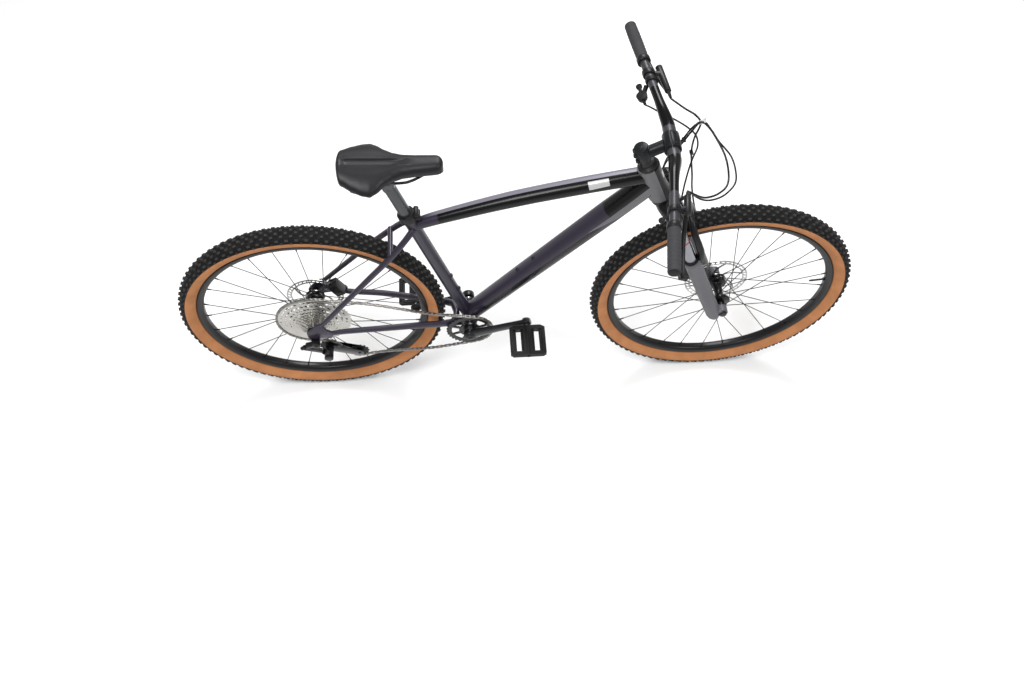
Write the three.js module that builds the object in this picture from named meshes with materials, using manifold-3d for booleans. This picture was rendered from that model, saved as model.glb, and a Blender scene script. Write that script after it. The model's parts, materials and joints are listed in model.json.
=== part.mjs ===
// A hardtail mountain bike, built from its separate pieces.
// Millimetres, +X forward, +Y to the rider's left, +Z up. The origin lies on the ground, midway
// between the two axles, so the chain side of the bike faces -Y.
import * as THREE from 'three';
import { mergeVertices } from 'three/addons/utils/BufferGeometryUtils.js';
import Module from 'manifold-3d';

const wasm = await Module();
wasm.setup();

// ---- Driving dimensions --------------------------------------------------------------------
const WHEELBASE = 1148;
const TYRE_RADIUS = 368;
const TYRE_HALF_WIDTH = 28.5;
const RIM_RADIUS = 317;
const HEAD_ANGLE = 68.5;
const SEAT_ANGLE = 73.4;
const FORK_OFFSET = 46;
const LEG_SETBACK = 26;
const LEG_SPREAD = 65;
const BB_BEHIND_CENTRE = 140;
const BB_HEIGHT = 309;
const CRANK_LENGTH = 172.5;
const CRANK_ANGLE = 23.3;
const BAR_HALF_WIDTH = 380;
const SEAT_TUBE_LENGTH = 476;
const HEAD_TUBE_BOTTOM = 499.5;
const HEAD_TUBE_TOP = 613;
const CHAIN_PITCH = 12.7;
const COG_TEETH = 51;
const CHAINRING_TEETH = 32;
const PULLEY_TEETH = 13;
const COG_Y = -31;
const CHAINRING_Y = -50;
const SPOKES = 28;
const GAP = 0.35;

const REAR_AXLE = new THREE.Vector3(-WHEELBASE / 2, 0, TYRE_RADIUS);
const FRONT_AXLE = new THREE.Vector3(WHEELBASE / 2, 0, TYRE_RADIUS);
const BOTTOM_BRACKET = new THREE.Vector3(-BB_BEHIND_CENTRE, 0, BB_HEIGHT);
const LEG_U = FORK_OFFSET - LEG_SETBACK;
const BORE_GAP = 0.5;

const rad = THREE.MathUtils.degToRad;
const v = (x, y, z) => new THREE.Vector3(x, y, z);
const pitchRadius = (teeth) => CHAIN_PITCH / (2 * Math.sin(Math.PI / teeth));

// ---- Frames ---------------------------------------------------------------------------------
// Steering frame: u forward, y left, w up along the steering axis, from the foot of the front
// axle's perpendicular. Seat frame: z up along the seat tube, from the bottom bracket.
const STEER_TILT = rad(HEAD_ANGLE - 90);
const SEAT_TILT = rad(SEAT_ANGLE - 90);
const STEER_FOOT = FRONT_AXLE.clone().sub(v(FORK_OFFSET, 0, 0).applyAxisAngle(v(0, 1, 0), STEER_TILT));

function steerPoint(u, y, w) {
  return v(u, y, w).applyAxisAngle(v(0, 1, 0), STEER_TILT).add(STEER_FOOT);
}

function seatPoint(u, y, s) {
  return v(u, y, s).applyAxisAngle(v(0, 1, 0), SEAT_TILT).add(BOTTOM_BRACKET);
}

// ---- Solid helpers --------------------------------------------------------------------------
function bare(geometry) {
  const copy = new THREE.BufferGeometry();
  copy.setAttribute('position', geometry.attributes.position.clone());
  if (geometry.index) copy.setIndex(geometry.index.clone());
  const merged = mergeVertices(copy, 1e-4);
  const kept = [];
  const index = merged.index.array;
  for (let i = 0; i < index.length; i += 3) {
    const [a, b, c] = [index[i], index[i + 1], index[i + 2]];
    if (a !== b && b !== c && c !== a) kept.push(a, b, c);
  }
  merged.setIndex(kept);
  return merged;
}

function signedVolume(geometry) {
  const p = geometry.attributes.position;
  const index = geometry.index.array;
  const [a, b, c] = [v(0, 0, 0), v(0, 0, 0), v(0, 0, 0)];
  let sum = 0;
  for (let i = 0; i < index.length; i += 3) {
    a.fromBufferAttribute(p, index[i]);
    b.fromBufferAttribute(p, index[i + 1]);
    c.fromBufferAttribute(p, index[i + 2]);
    sum += a.dot(b.cross(c)) / 6;
  }
  return sum;
}

function outward(geometry) {
  const solid = bare(geometry);
  if (signedVolume(solid) < 0) {
    const index = solid.index.array;
    for (let i = 0; i < index.length; i += 3) [index[i], index[i + 1]] = [index[i + 1], index[i]];
  }
  return solid;
}

function toManifold(geometry) {
  const solid = outward(geometry);
  const vertProperties = new Float32Array(solid.attributes.position.array);
  const triVerts = new Uint32Array(solid.index.array);
  return new wasm.Manifold(new wasm.Mesh({ numProp: 3, vertProperties, triVerts }));
}

// The finished body; a sliver that a cut leaves loose is dropped.
function fromManifold(solid) {
  const bodies = solid.decompose().sort((a, b) => b.volume() - a.volume());
  const mesh = bodies[0].getMesh();
  const geometry = new THREE.BufferGeometry();
  geometry.setAttribute('position', new THREE.BufferAttribute(mesh.vertProperties, 3));
  geometry.setIndex(new THREE.BufferAttribute(mesh.triVerts, 1));
  return geometry;
}

function joined(first, ...others) {
  return fromManifold(others.reduce((sum, other) => sum.add(toManifold(other)), toManifold(first)));
}

function cut(first, ...tools) {
  return fromManifold(tools.reduce((rest, tool) => rest.subtract(toManifold(tool)), toManifold(first)));
}

// Turns a shape made along +Y from the origin so that it runs from a towards b.
function aimed(geometry, a, b) {
  const turn = new THREE.Quaternion().setFromUnitVectors(v(0, 1, 0), b.clone().sub(a).normalize());
  return geometry.applyQuaternion(turn).translate(a.x, a.y, a.z);
}

function rod(a, b, radius, sides = 12, endRadius = radius) {
  const length = a.distanceTo(b);
  const shape = new THREE.CylinderGeometry(endRadius, radius, length, sides).translate(0, length / 2, 0);
  return aimed(shape, a, b);
}

// A turned piece: profile points are [radius, distance along the axis from a towards b].
function turned(profile, a, b, sides = 16) {
  const points = profile.map(([radius, s]) => new THREE.Vector2(radius, s));
  return aimed(new THREE.LatheGeometry(points, sides), a, b);
}

function ring(a, b, outer, inner, sides = 16) {
  const length = a.distanceTo(b);
  return turned([[inner, 0], [outer, 0], [outer, length], [inner, length], [inner, 0]], a, b, sides);
}

function block(centre, size) {
  return new THREE.BoxGeometry(size.x, size.y, size.z).translate(centre.x, centre.y, centre.z);
}

// A flat plate in the XZ plane from its outline of [x, z] points, between two y values.
function plate(outline, yLow, yHigh, holes = []) {
  const shape = new THREE.Shape(outline.map(([x, z]) => new THREE.Vector2(x, z)));
  shape.holes = holes.map((hole) => new THREE.Path(hole.map(([x, z]) => new THREE.Vector2(x, z))));
  const solid = new THREE.ExtrudeGeometry(shape, { depth: yHigh - yLow, bevelEnabled: false });
  return solid.rotateX(Math.PI / 2).translate(0, yHigh, 0);
}

function circleOutline(cx, cz, radius, sides, start = 0) {
  return Array.from({ length: sides }, (_, i) => {
    const angle = start + (2 * Math.PI * i) / sides;
    return [cx + radius * Math.cos(angle), cz + radius * Math.sin(angle)];
  });
}

// A tube whose oval section changes along its route. Each station is [point, half height in the
// plane of the bike, half width across it].
function shapedTube(stations, sides = 12, steps = 6) {
  const curve = new THREE.CatmullRomCurve3(stations.map((s) => s[0]), false, 'catmullrom', 0.5);
  const shape = new THREE.CylinderGeometry(1, 1, 1, sides, steps);
  const p = shape.attributes.position;
  for (let i = 0; i < p.count; i += 1) {
    const t = THREE.MathUtils.clamp(p.getY(i) + 0.5, 0, 1);
    const at = t * (stations.length - 1);
    const k = Math.min(Math.floor(at), stations.length - 2);
    const tall = THREE.MathUtils.lerp(stations[k][1], stations[k + 1][1], at - k);
    const wide = THREE.MathUtils.lerp(stations[k][2], stations[k + 1][2], at - k);
    const along = curve.getTangent(t);
    const across = v(0, 1, 0).addScaledVector(along, -along.y).normalize();
    const up = across.clone().cross(along);
    const place = curve.getPoint(t).addScaledVector(up, p.getX(i) * tall);
    place.addScaledVector(across, p.getZ(i) * wide);
    p.setXYZ(i, place.x, place.y, place.z);
  }
  return shape;
}

// The same tube with its wall: the bore runs out past both ends.
function hollowTube(stations, wall, sides = 12, steps = 8) {
  const bore = stations.map(([point, tall, wide]) => [point.clone(), tall - wall, wide - wall]);
  const last = bore.length - 1;
  bore[0][0].add(stations[0][0].clone().sub(stations[1][0]).setLength(2));
  bore[last][0].add(stations[last][0].clone().sub(stations[last - 1][0]).setLength(2));
  return cut(shapedTube(stations, sides, steps), shapedTube(bore, sides, steps));
}

// A round cord or wire along hand-placed points.
function cable(points, radius, sides, steps) {
  const curve = new THREE.CatmullRomCurve3(points, false, 'centripetal');
  const section = new THREE.Shape();
  for (let i = 0; i < sides; i += 1) {
    const angle = (2 * Math.PI * i) / sides;
    const move = i === 0 ? 'moveTo' : 'lineTo';
    section[move](radius * Math.cos(angle), radius * Math.sin(angle));
  }
  return new THREE.ExtrudeGeometry(section, { steps, bevelEnabled: false, extrudePath: curve });
}

function mirrored(geometry) {
  return geometry.clone().scale(1, -1, 1);
}

// ---- Finishes -------------------------------------------------------------------------------
function finish(color, roughness, metalness) {
  return () => new THREE.MeshStandardMaterial({ color, roughness, metalness });
}

const framePaint = finish(0x46424e, 0.45, 0.3);
const matteGrey = finish(0x6e6e73, 0.55, 0.1);
const satinBlack = finish(0x1b1b1d, 0.45, 0.4);
const anodised = finish(0x2c2c2f, 0.4, 0.6);
const polished = finish(0xb9b9bc, 0.2, 0.95);
const warmSteel = finish(0xa8a49a, 0.35, 0.9);
const rubber = finish(0x26262a, 0.85, 0.0);
const tyreTan = finish(0xc48654, 0.8, 0.0);
const plasticBlack = finish(0x161617, 0.5, 0.0);
const cableBlack = finish(0x0f0f10, 0.4, 0.0);

function add(group, name, geometry, material) {
  const solid = outward(geometry);
  solid.computeVertexNormals();
  const mesh = new THREE.Mesh(solid, material());
  mesh.name = name;
  group.add(mesh);
}

// ---- Frame ----------------------------------------------------------------------------------
const SHELL_RADIUS = 21;
const SEAT_TUBE_RADIUS = 17.4;
const HEAD_RADIUS = 27;

function headTube() {
  const length = HEAD_TUBE_TOP - HEAD_TUBE_BOTTOM;
  const profile = [[23.5, 0], [30, 0], [30, 12], [HEAD_RADIUS, 40], [HEAD_RADIUS, length - 14],
    [28, length], [20.8, length], [20.8, 30], [23.5, 20], [23.5, 0]];
  return turned(profile, steerPoint(0, 0, HEAD_TUBE_BOTTOM), steerPoint(0, 0, HEAD_TUBE_TOP), 24);
}

function headTubeSpace() {
  return rod(steerPoint(0, 0, 480), steerPoint(0, 0, 625), 30.3 + GAP, 24);
}

function seatTubeSpace() {
  return rod(seatPoint(0, 0, 5), seatPoint(0, 0, 500), SEAT_TUBE_RADIUS + GAP, 16);
}

function shellSpace() {
  return rod(v(-BB_BEHIND_CENTRE, -60, BB_HEIGHT), v(-BB_BEHIND_CENTRE, 60, BB_HEIGHT),
    SHELL_RADIUS + GAP, 20);
}

const TOP_TUBE = [
  [v(-268, 0, 736), 15, 15], [v(-190, 0, 766), 15.5, 17], [v(-21, 0, 818), 18, 20],
  [v(150, 0, 858), 19, 21], [v(318, 0, 890), 20, 20],
];
const DOWN_TUBE = [
  [v(-128, 0, 336), 22, 26], [v(61, 0, 558), 26, 28], [v(230, 0, 757), 28.5, 29], [v(330, 0, 872), 29, 24],
];

const BOSS_RADIUS = 6;
const BOSS_SPACING = 64;
const DOWN_TUBE_BOSSES = [222, 222 + BOSS_SPACING];
const SEAT_TUBE_BOSSES = [140, 140 + BOSS_SPACING];

// The raised seats that a bottle cage is bolted to, with their flat outer faces.
function downTubeBosses() {
  const along = DOWN_TUBE[1][0].clone().sub(DOWN_TUBE[0][0]).normalize();
  const up = v(-along.z, 0, along.x);
  return DOWN_TUBE_BOSSES.map((t) => {
    const foot = DOWN_TUBE[0][0].clone().addScaledVector(along, t);
    return rod(foot.clone().addScaledVector(up, 23.8), foot.clone().addScaledVector(up, 28),
      BOSS_RADIUS, 8);
  });
}

function seatTubeBosses() {
  return SEAT_TUBE_BOSSES.map((s) => rod(seatPoint(16.8, 0, s), seatPoint(19.5, 0, s), BOSS_RADIUS, 8));
}

function topTube() {
  return cut(hollowTube(TOP_TUBE, 2, 12, 6), headTubeSpace(), seatTubeSpace());
}

function grown(stations, by) {
  return stations.map(([point, tall, wide]) => [point, tall + by, wide + by]);
}

function downTube() {
  const topTubeSpace = shapedTube(grown(TOP_TUBE, 2 * GAP), 12, 6);
  const tube = joined(hollowTube(DOWN_TUBE, 2, 12, 4), ...downTubeBosses());
  return cut(tube, headTubeSpace(), shellSpace(), seatTubeSpace(), topTubeSpace);
}

// The seat tube and the bottom bracket shell that it is welded to.
function seatTube() {
  const top = SEAT_TUBE_LENGTH;
  const tube = ring(seatPoint(0, 0, 8), seatPoint(0, 0, top), SEAT_TUBE_RADIUS, 16.2, 16);
  const shell = rod(v(-BB_BEHIND_CENTRE, -36.5, BB_HEIGHT), v(-BB_BEHIND_CENTRE, 36.5, BB_HEIGHT),
    SHELL_RADIUS, 20);
  const bore = rod(v(-BB_BEHIND_CENTRE, -40, BB_HEIGHT), v(-BB_BEHIND_CENTRE, 40, BB_HEIGHT), 17, 20);
  return cut(joined(shell, tube, ...seatTubeBosses()), bore);
}

function dropout() {
  const { x, z } = REAR_AXLE;
  const outline = [[x - 17, z - 8], [x - 12, z - 20], [x + 8, z - 22], [x + 52, z - 14], [x + 56, z + 4],
    [x + 38, z + 20], [x + 30, z + 46], [x + 14, z + 44], [x - 8, z + 18], [x - 17, z + 8]];
  return plate(outline, -80, -74, [circleOutline(x, z, 6.4, 16)]);
}

function chainstay() {
  const stations = [
    [v(-530, -76, 366), 9, 5.5], [v(-474, -67, 360), 9, 7], [v(-385, -60, 354), 9, 8],
    [v(-290, -48, 341), 11, 8], [v(-225, -40.5, 332), 12.5, 7.5], [v(-160, -27, 319), 14, 10],
  ];
  return shapedTube(stations, 8, 6);
}

function chainstays() {
  const { x, z } = REAR_AXLE;
  const left = joined(mirrored(chainstay()), mirrored(dropout()));
  const right = joined(chainstay(), dropout());
  const yoke = block(v(-188, 0, 318), v(10, 56, 14));
  const caliperMount = plate([[x + 56, z + 2], [x + 92, z + 2], [x + 88, z + 12], [x + 50, z + 18]],
    70.5, 77);
  return cut(joined(right, left, yoke, caliperMount), shellSpace(), seatTubeSpace());
}

function seatstay() {
  const stations = [
    [v(-263, -12, 737), 8, 9], [v(-290, -31, 712), 8, 8.5], [v(-334, -46, 660), 8, 8],
    [v(-400, -57, 584), 7.5, 7.5], [v(-469, -66, 500), 7, 7], [v(-541, -76.6, 412), 7, 4],
  ];
  return shapedTube(stations, 8, 6);
}

// The stays are cut back from dropouts this much wider than the real ones.
const DROPOUT_ROOM = 1.006;

function seatstays() {
  const bridge = rod(v(-331, -46, 671), v(-331, 46, 671), 7, 8);
  const topTubeSpace = shapedTube(grown(TOP_TUBE, 2 * GAP), 12, 6);
  const pair = joined(seatstay(), mirrored(seatstay()), bridge);
  const spaces = [dropout(), mirrored(dropout())].map((piece) => piece.scale(1, DROPOUT_ROOM, 1));
  return cut(pair, seatTubeSpace(), topTubeSpace, ...spaces, ...stayEndSpaces());
}

// Room for the dropouts' upper ears, which the seatstays are welded to.
function stayEndSpaces() {
  const { x, z } = REAR_AXLE;
  return [-77, 77].map((y) => block(v(x + 18, y, z + 22), v(34, 16, 49)));
}

function seatClamp() {
  const band = ring(seatPoint(0, 0, SEAT_TUBE_LENGTH + GAP), seatPoint(0, 0, SEAT_TUBE_LENGTH + 17),
    21.5, 16.3, 18);
  const ears = block(v(24, 0, SEAT_TUBE_LENGTH + 8.7), v(14, 22, 15));
  ears.rotateY(SEAT_TILT).translate(BOTTOM_BRACKET.x, 0, BOTTOM_BRACKET.z);
  const post = rod(seatPoint(0, 0, 440), seatPoint(0, 0, 520), 16.3, 18);
  return cut(joined(band, ears), post);
}

function rearAxle() {
  const { x, z } = REAR_AXLE;
  const shaft = rod(v(x, -79, z), v(x, 81, z), 6, 16);
  const head = rod(v(x, 80.4, z), v(x, 86, z), 9.5, 16);
  return joined(shaft, head);
}

// ---- Brake calipers: a block with a slot that the rotor runs through ---------------------------
function caliper(centre, along, slotY) {
  const body = new THREE.BoxGeometry(46, 31, 26).translate(0, 1.5, 0);
  const cylinder = new THREE.CylinderGeometry(12, 12, 33, 12).translate(0, 1.5, 0);
  const slot = new THREE.BoxGeometry(60, 3.4, 40).translate(0, 0, -14);
  const piece = cut(joined(body, cylinder), slot);
  piece.rotateY(along);
  return piece.translate(centre.x, slotY, centre.z);
}

const REAR_ROTOR_Y = 52;
const FRONT_ROTOR_Y = 40;

function rearCaliper() {
  const centre = REAR_AXLE.clone().add(v(66, 0, 36));
  return caliper(centre, rad(62), REAR_ROTOR_Y);
}

// ---- Chain: one loop round the chainring, both pulleys and the largest cog -----------------------
const GUIDE_PULLEY = v(REAR_AXLE.x + 22, COG_Y, 232);
const TENSION_PULLEY = v(REAR_AXLE.x + 106, COG_Y, 196);

function chainCircles(inset) {
  const wheel = (centre, teeth, turn) => ({
    x: centre.x, z: centre.z, turn, radius: pitchRadius(teeth) - turn * inset,
  });
  return [
    wheel(BOTTOM_BRACKET, CHAINRING_TEETH, 1),
    wheel(TENSION_PULLEY, PULLEY_TEETH, 1),
    wheel(GUIDE_PULLEY, PULLEY_TEETH, -1),
    wheel(REAR_AXLE, COG_TEETH, 1),
  ];
}

// Heading of the straight run that leaves circle a and meets circle b.
function runHeading(a, b) {
  const distance = Math.hypot(b.x - a.x, b.z - a.z);
  const base = Math.atan2(b.z - a.z, b.x - a.x);
  return base - Math.asin((a.turn * a.radius - b.turn * b.radius) / distance);
}

function beltPoints(circles, arcSteps, runSteps) {
  const points = [];
  const count = circles.length;
  circles.forEach((circle, i) => {
    const before = circles[(i + count - 1) % count];
    const after = circles[(i + 1) % count];
    const quarter = (circle.turn * Math.PI) / 2;
    const start = runHeading(before, circle) + quarter;
    let sweep = runHeading(circle, after) + quarter - start;
    while (sweep * circle.turn > 0) sweep -= circle.turn * 2 * Math.PI;
    const rim = (angle) => [circle.x + circle.radius * Math.cos(angle),
      circle.z + circle.radius * Math.sin(angle)];
    for (let k = 0; k <= arcSteps[i]; k += 1) points.push(rim(start + (sweep * k) / arcSteps[i]));
    const heading = runHeading(circle, after) + (after.turn * Math.PI) / 2;
    const end = [after.x + after.radius * Math.cos(heading), after.z + after.radius * Math.sin(heading)];
    const from = points[points.length - 1];
    for (let k = 1; k < runSteps[i]; k += 1) {
      points.push([from[0] + ((end[0] - from[0]) * k) / runSteps[i],
        from[1] + ((end[1] - from[1]) * k) / runSteps[i]]);
    }
  });
  return points;
}

function chainY(x) {
  return THREE.MathUtils.lerp(COG_Y, CHAINRING_Y, THREE.MathUtils.smoothstep(x, -440, -215));
}

function chain() {
  const halfHeight = 3.6;
  const halfWidth = 2.8;
  const arcSteps = [12, 8, 6, 16];
  const runSteps = [4, 2, 2, 4];
  const outer = beltPoints(chainCircles(-halfHeight), arcSteps, runSteps);
  const inner = beltPoints(chainCircles(halfHeight), arcSteps, runSteps);
  const count = outer.length;
  const loop = new THREE.TorusGeometry(2, 1, 4, count);
  const p = loop.attributes.position;
  const corners = [[outer, 1], [inner, 1], [inner, -1], [outer, -1]];
  for (let j = 0; j <= 4; j += 1) {
    for (let i = 0; i <= count; i += 1) {
      const [line, side] = corners[j % 4];
      const [x, z] = line[i % count];
      p.setXYZ(j * (count + 1) + i, x, chainY(x) + side * halfWidth, z);
    }
  }
  return loop;
}

// ---- Wheels -----------------------------------------------------------------------------------
const WHEEL_SIDES = 24;
const SPOKE_END = 295.5;
const HERE = v(0, 0, 0);
const LEFT = v(0, 1, 0);

function tyre() {
  const w = TYRE_HALF_WIDTH;
  const R = TYRE_RADIUS;
  const outer = [[310, 11], [317.8, 11.2], [326, 21], [347, w], [R - 7, 22], [R, 9]];
  const inner = [[310, 8.4], [318.6, 8.7], [344, 23], [R - 11, 12]];
  const profile = [
    ...outer.map(([r, y]) => [r, -y]), ...outer.slice().reverse(), ...inner,
    ...inner.slice().reverse().map(([r, y]) => [r, -y]),
  ];
  return turned([...profile, profile[0]], HERE, LEFT, WHEEL_SIDES);
}

function rim() {
  const half = [[299.5, 8], [306, 14], [RIM_RADIUS, 14.5], [RIM_RADIUS, 11.6], [309.4, 11.3]];
  const profile = [...half.map(([r, y]) => [r, -y]), ...half.slice().reverse()];
  return turned([...profile, profile[0]], HERE, LEFT, WHEEL_SIDES);
}

// The hub shell with its spokes. leftFlange and rightFlange are y values, ends are the faces that
// meet the dropouts and seat is the face that the rotor bolts to.
function hub({ ends, leftFlange, rightFlange, barrel, flangeRadius, bore, seat }) {
  const profile = [
    [bore, ends[0]], [11, ends[0]], [11, rightFlange - 5], [flangeRadius, rightFlange - 3],
      [flangeRadius, rightFlange + 3],
    [barrel, rightFlange + 6], [barrel, leftFlange - 6], [flangeRadius, leftFlange - 3],
      [flangeRadius, leftFlange + 3],
    [20, seat], [10.5, seat + 0.2], [10.5, ends[1]], [bore, ends[1]], [bore, ends[0]],
  ];
  const shell = turned(profile, HERE, LEFT, 16);
  const spokes = [];
  for (let i = 0; i < SPOKES; i += 1) {
    const left = i % 2 === 0;
    const pair = Math.floor(i / 2);
    const leading = pair % 2 === 0;
    const rimAngle = (2 * Math.PI * i) / SPOKES;
    const lean = rad(leading ? 76 : -76);
    const flange = left ? leftFlange : rightFlange;
    const head = flange + (leading ? 1.9 : -1.9);
    const from = v((flangeRadius - 2.5) * Math.cos(rimAngle + lean),
      head, (flangeRadius - 2.5) * Math.sin(rimAngle + lean));
    const to = v(SPOKE_END * Math.cos(rimAngle), left ? 3 : -3, SPOKE_END * Math.sin(rimAngle));
    spokes.push(rod(from, to, 1.1, 3));
  }
  return joined(shell, ...spokes);
}

function rotor(radius, y) {
  const holes = [];
  const arms = 6;
  for (let i = 0; i < arms; i += 1) {
    const start = (2 * Math.PI * i) / arms + 0.12;
    const end = start + (2 * Math.PI) / arms - 0.24;
    const steps = 3;
    const outer = Array.from({ length: steps + 1 }, (_, k) => start + ((end - start) * k) / steps);
    const rim = outer.map((a) => [(radius - 15) * Math.cos(a), (radius - 15) * Math.sin(a)]);
    const inner = outer.slice().reverse().map((a) => [29 * Math.cos(a), 29 * Math.sin(a)]);
    holes.push([...rim, ...inner]);
  }
  const centre = circleOutline(0, 0, 21, 16);
  return plate(circleOutline(0, 0, radius, 24), y - 0.9, y + 0.9, [centre, ...holes]);
}

function addWheel(bike, name, axle, hubSizes, rotorRadius, rotorY) {
  const wheel = new THREE.Group();
  wheel.position.copy(axle);
  add(wheel, `${name}_tyre`, tyre(), tyreTan);
  add(wheel, `${name}_rim`, rim(), satinBlack);
  add(wheel, `${name}_hub`, hub(hubSizes), anodised);
  add(wheel, `${name}_rotor`, rotor(rotorRadius, rotorY), polished);
  bike.add(wheel);
}

// Twelve cogs in one stack on the freehub body, to the roots of their teeth.
const COG_ROOT = 4.6;

function cassette() {
  const cogs = [51, 45, 39, 33, 28, 24, 21, 18, 16, 14, 12, 10];
  const step = 3.05;
  const profile = [[7.2, -25.5], [17, -25.5], [17, COG_Y + 1]];
  profile.push([pitchRadius(cogs[0]) - COG_ROOT, COG_Y + 1]);
  cogs.forEach((teeth, i) => profile.push([pitchRadius(teeth) - COG_ROOT, COG_Y - 1 - i * step]));
  profile.push([13, COG_Y - 11 * step - 1.5], [13, -72.8], [7.2, -72.8]);
  return turned([...profile, profile[0]], HERE, LEFT, 20);
}

// ---- Cranks, chainring and pedals --------------------------------------------------------------
function crankEnd(side) {
  const reach = v(CRANK_LENGTH * Math.cos(rad(CRANK_ANGLE)), 0, CRANK_LENGTH * Math.sin(rad(CRANK_ANGLE)));
  return BOTTOM_BRACKET.clone().addScaledVector(reach, side);
}

function crankArm(side) {
  const y = (value) => -side * value;
  const end = crankEnd(side);
  const at = (t, offset) => BOTTOM_BRACKET.clone().lerp(end, t).add(v(0, y(offset), 0));
  const arm = shapedTube([
    [at(-0.05, 67), 15, 7], [at(0.12, 67), 17, 8], [at(0.5, 72), 13, 7], [at(0.9, 78), 11.5, 7.5],
      [at(1.06, 79), 9, 7],
  ], 10, 6);
  const boss = rod(at(0, 59), at(0, 75), 18, 16);
  const pedalSpindle = rod(at(1, 80), at(1, 96), 6.5, 10);
  const pedalPin = rod(at(1, 90), at(1, 184), 4.5, 10);
  return joined(arm, boss, pedalSpindle, pedalPin);
}

function rightCrank() {
  const spindle = rod(v(BOTTOM_BRACKET.x, -65, BB_HEIGHT), v(BOTTOM_BRACKET.x, 55, BB_HEIGHT), 12, 16);
  return joined(crankArm(1), spindle);
}

function leftCrank() {
  return crankArm(-1);
}

function chainring() {
  const { x, z } = BOTTOM_BRACKET;
  const root = pitchRadius(CHAINRING_TEETH) - 4.4;
  const windows = [];
  for (let i = 0; i < 8; i += 1) windows.push(circleOutline(x + 40 * Math.cos(i * rad(45)),
    z + 40 * Math.sin(i * rad(45)), 8.5, 6));
  return plate(circleOutline(x, z, root, 32), CHAINRING_Y - 2, CHAINRING_Y + 2, [circleOutline(x, z,
    12.6, 16), ...windows]);
}

function pedal(side) {
  const end = crankEnd(side);
  const y = (value) => -side * value;
  const halfLength = 49;
  const outline = [[-halfLength, -42], [-halfLength + 8, -47], [halfLength - 8, -47], [halfLength, -42],
    [halfLength, 40], [halfLength - 12, 47], [-halfLength + 12, 47], [-halfLength, 40]];
  const shape = new THREE.Shape(outline.map(([a, b]) => new THREE.Vector2(a, b)));
  const windows = [1, -1].map((sign) => block(v(sign * 26, -1, 0), v(27, 70, 30)));
  const body = new THREE.ExtrudeGeometry(shape, { depth: 16, bevelEnabled: false }).translate(0, 0, -8);
  const barrel = rod(v(0, -47, 0), v(0, 47, 0), 9.5, 12);
  const bore = rod(v(0, -60, 0), v(0, 60, 0), 5, 12);
  const mouth = rod(v(0, side * 38, 0), v(0, side * 60, 0), 7, 12);
  return cut(joined(cut(body, ...windows), barrel), bore, mouth).translate(end.x, y(140), end.z);
}

// ---- Rear derailleur ------------------------------------------------------------------------------
const B_PIVOT = v(REAR_AXLE.x + 4, -88, 338);
const LINK_START = v(REAR_AXLE.x - 36, -88, 318);
const LINK_END = v(REAR_AXLE.x + 14, -66, 258);
const LINK_PIN = v(LINK_END.z - LINK_START.z, 0, LINK_START.x - LINK_END.x).normalize().negate();

function derailleurHanger() {
  const { x, z } = REAR_AXLE;
  const tab = plate([[x - 10, z - 20.5], [x - 12, z - 34], [x - 4, z - 42], [x + 12, z - 38],
    [x + 14, z - 22.5],
    [x + 8, z - 22.5]], -80, -75);
  const knuckle = rod(v(B_PIVOT.x, -98, B_PIVOT.z), v(B_PIVOT.x, -79, B_PIVOT.z), 11, 12);
  const armEnd = LINK_START.clone().addScaledVector(LINK_PIN, 15);
  const arm = shapedTube([[v(B_PIVOT.x, -88, B_PIVOT.z), 10, 8], [armEnd, 9, 9]], 10, 2);
  const linkRoom = rod(LINK_START.clone().addScaledVector(LINK_PIN, -20),
    LINK_START.clone().addScaledVector(LINK_PIN, 8.4), 12, 12);
  return cut(joined(tab, knuckle, arm), linkRoom, dropoutSpace());
}

function dropoutSpace() {
  const { x, z } = REAR_AXLE;
  return plate([[x - 25, z - 20.3], [x - 11.7, z - 20.3], [x + 8, z - 22.4], [x + 60, z - 14],
    [x + 60, z + 40], [x - 25, z + 40]], -82, -73);
}

function derailleurLink() {
  const along = LINK_END.clone().sub(LINK_START).normalize();
  const end = LINK_END.clone().addScaledVector(along, -14);
  const start = LINK_START.clone().addScaledVector(along, 1);
  const pivot = (centre) => rod(centre.clone().addScaledVector(LINK_PIN, -8),
    centre.clone().addScaledVector(LINK_PIN, 8), 6, 10);
  return joined(shapedTube([[start, 7, 8], [end, 7, 8]], 8, 1), pivot(start));
}

function derailleurKnuckle() {
  return joined(
    rod(v(GUIDE_PULLEY.x, -78, GUIDE_PULLEY.z), v(GUIDE_PULLEY.x, COG_Y - 10.5, GUIDE_PULLEY.z), 13, 14),
    rod(LINK_END.clone().add(v(-2, -2, 2)), v(GUIDE_PULLEY.x, -62, GUIDE_PULLEY.z), 9, 10),
  );
}

function cagePlate(yLow, yHigh) {
  const g = GUIDE_PULLEY;
  const t = TENSION_PULLEY;
  const along = Math.atan2(t.z - g.z, t.x - g.x);
  const half = (centre, start) => Array.from({ length: 7 }, (_, i) => {
    const angle = start + (Math.PI * i) / 6;
    return [centre.x + 14 * Math.cos(angle), centre.z + 14 * Math.sin(angle)];
  });
  return plate([...half(t, along - Math.PI / 2), ...half(g, along + Math.PI / 2)], yLow, yHigh);
}

function derailleurCage() {
  const bolt = (c) => rod(v(c.x, COG_Y - 9, c.z), v(c.x, COG_Y + 9, c.z), 2.6, 10);
  return joined(cagePlate(COG_Y - 10, COG_Y - 7.4), cagePlate(COG_Y + 6.4, COG_Y + 8.4),
    bolt(GUIDE_PULLEY), bolt(TENSION_PULLEY));
}

function pulley(centre) {
  const root = pitchRadius(PULLEY_TEETH) - 4.4;
  return ring(v(centre.x, COG_Y - 2, centre.z), v(centre.x, COG_Y + 2, centre.z), root, 3, 20);
}

// ---- Seatpost and saddle -----------------------------------------------------------------------
const POST_TOP = 606;
const RAIL_HEIGHT = 924;

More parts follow.
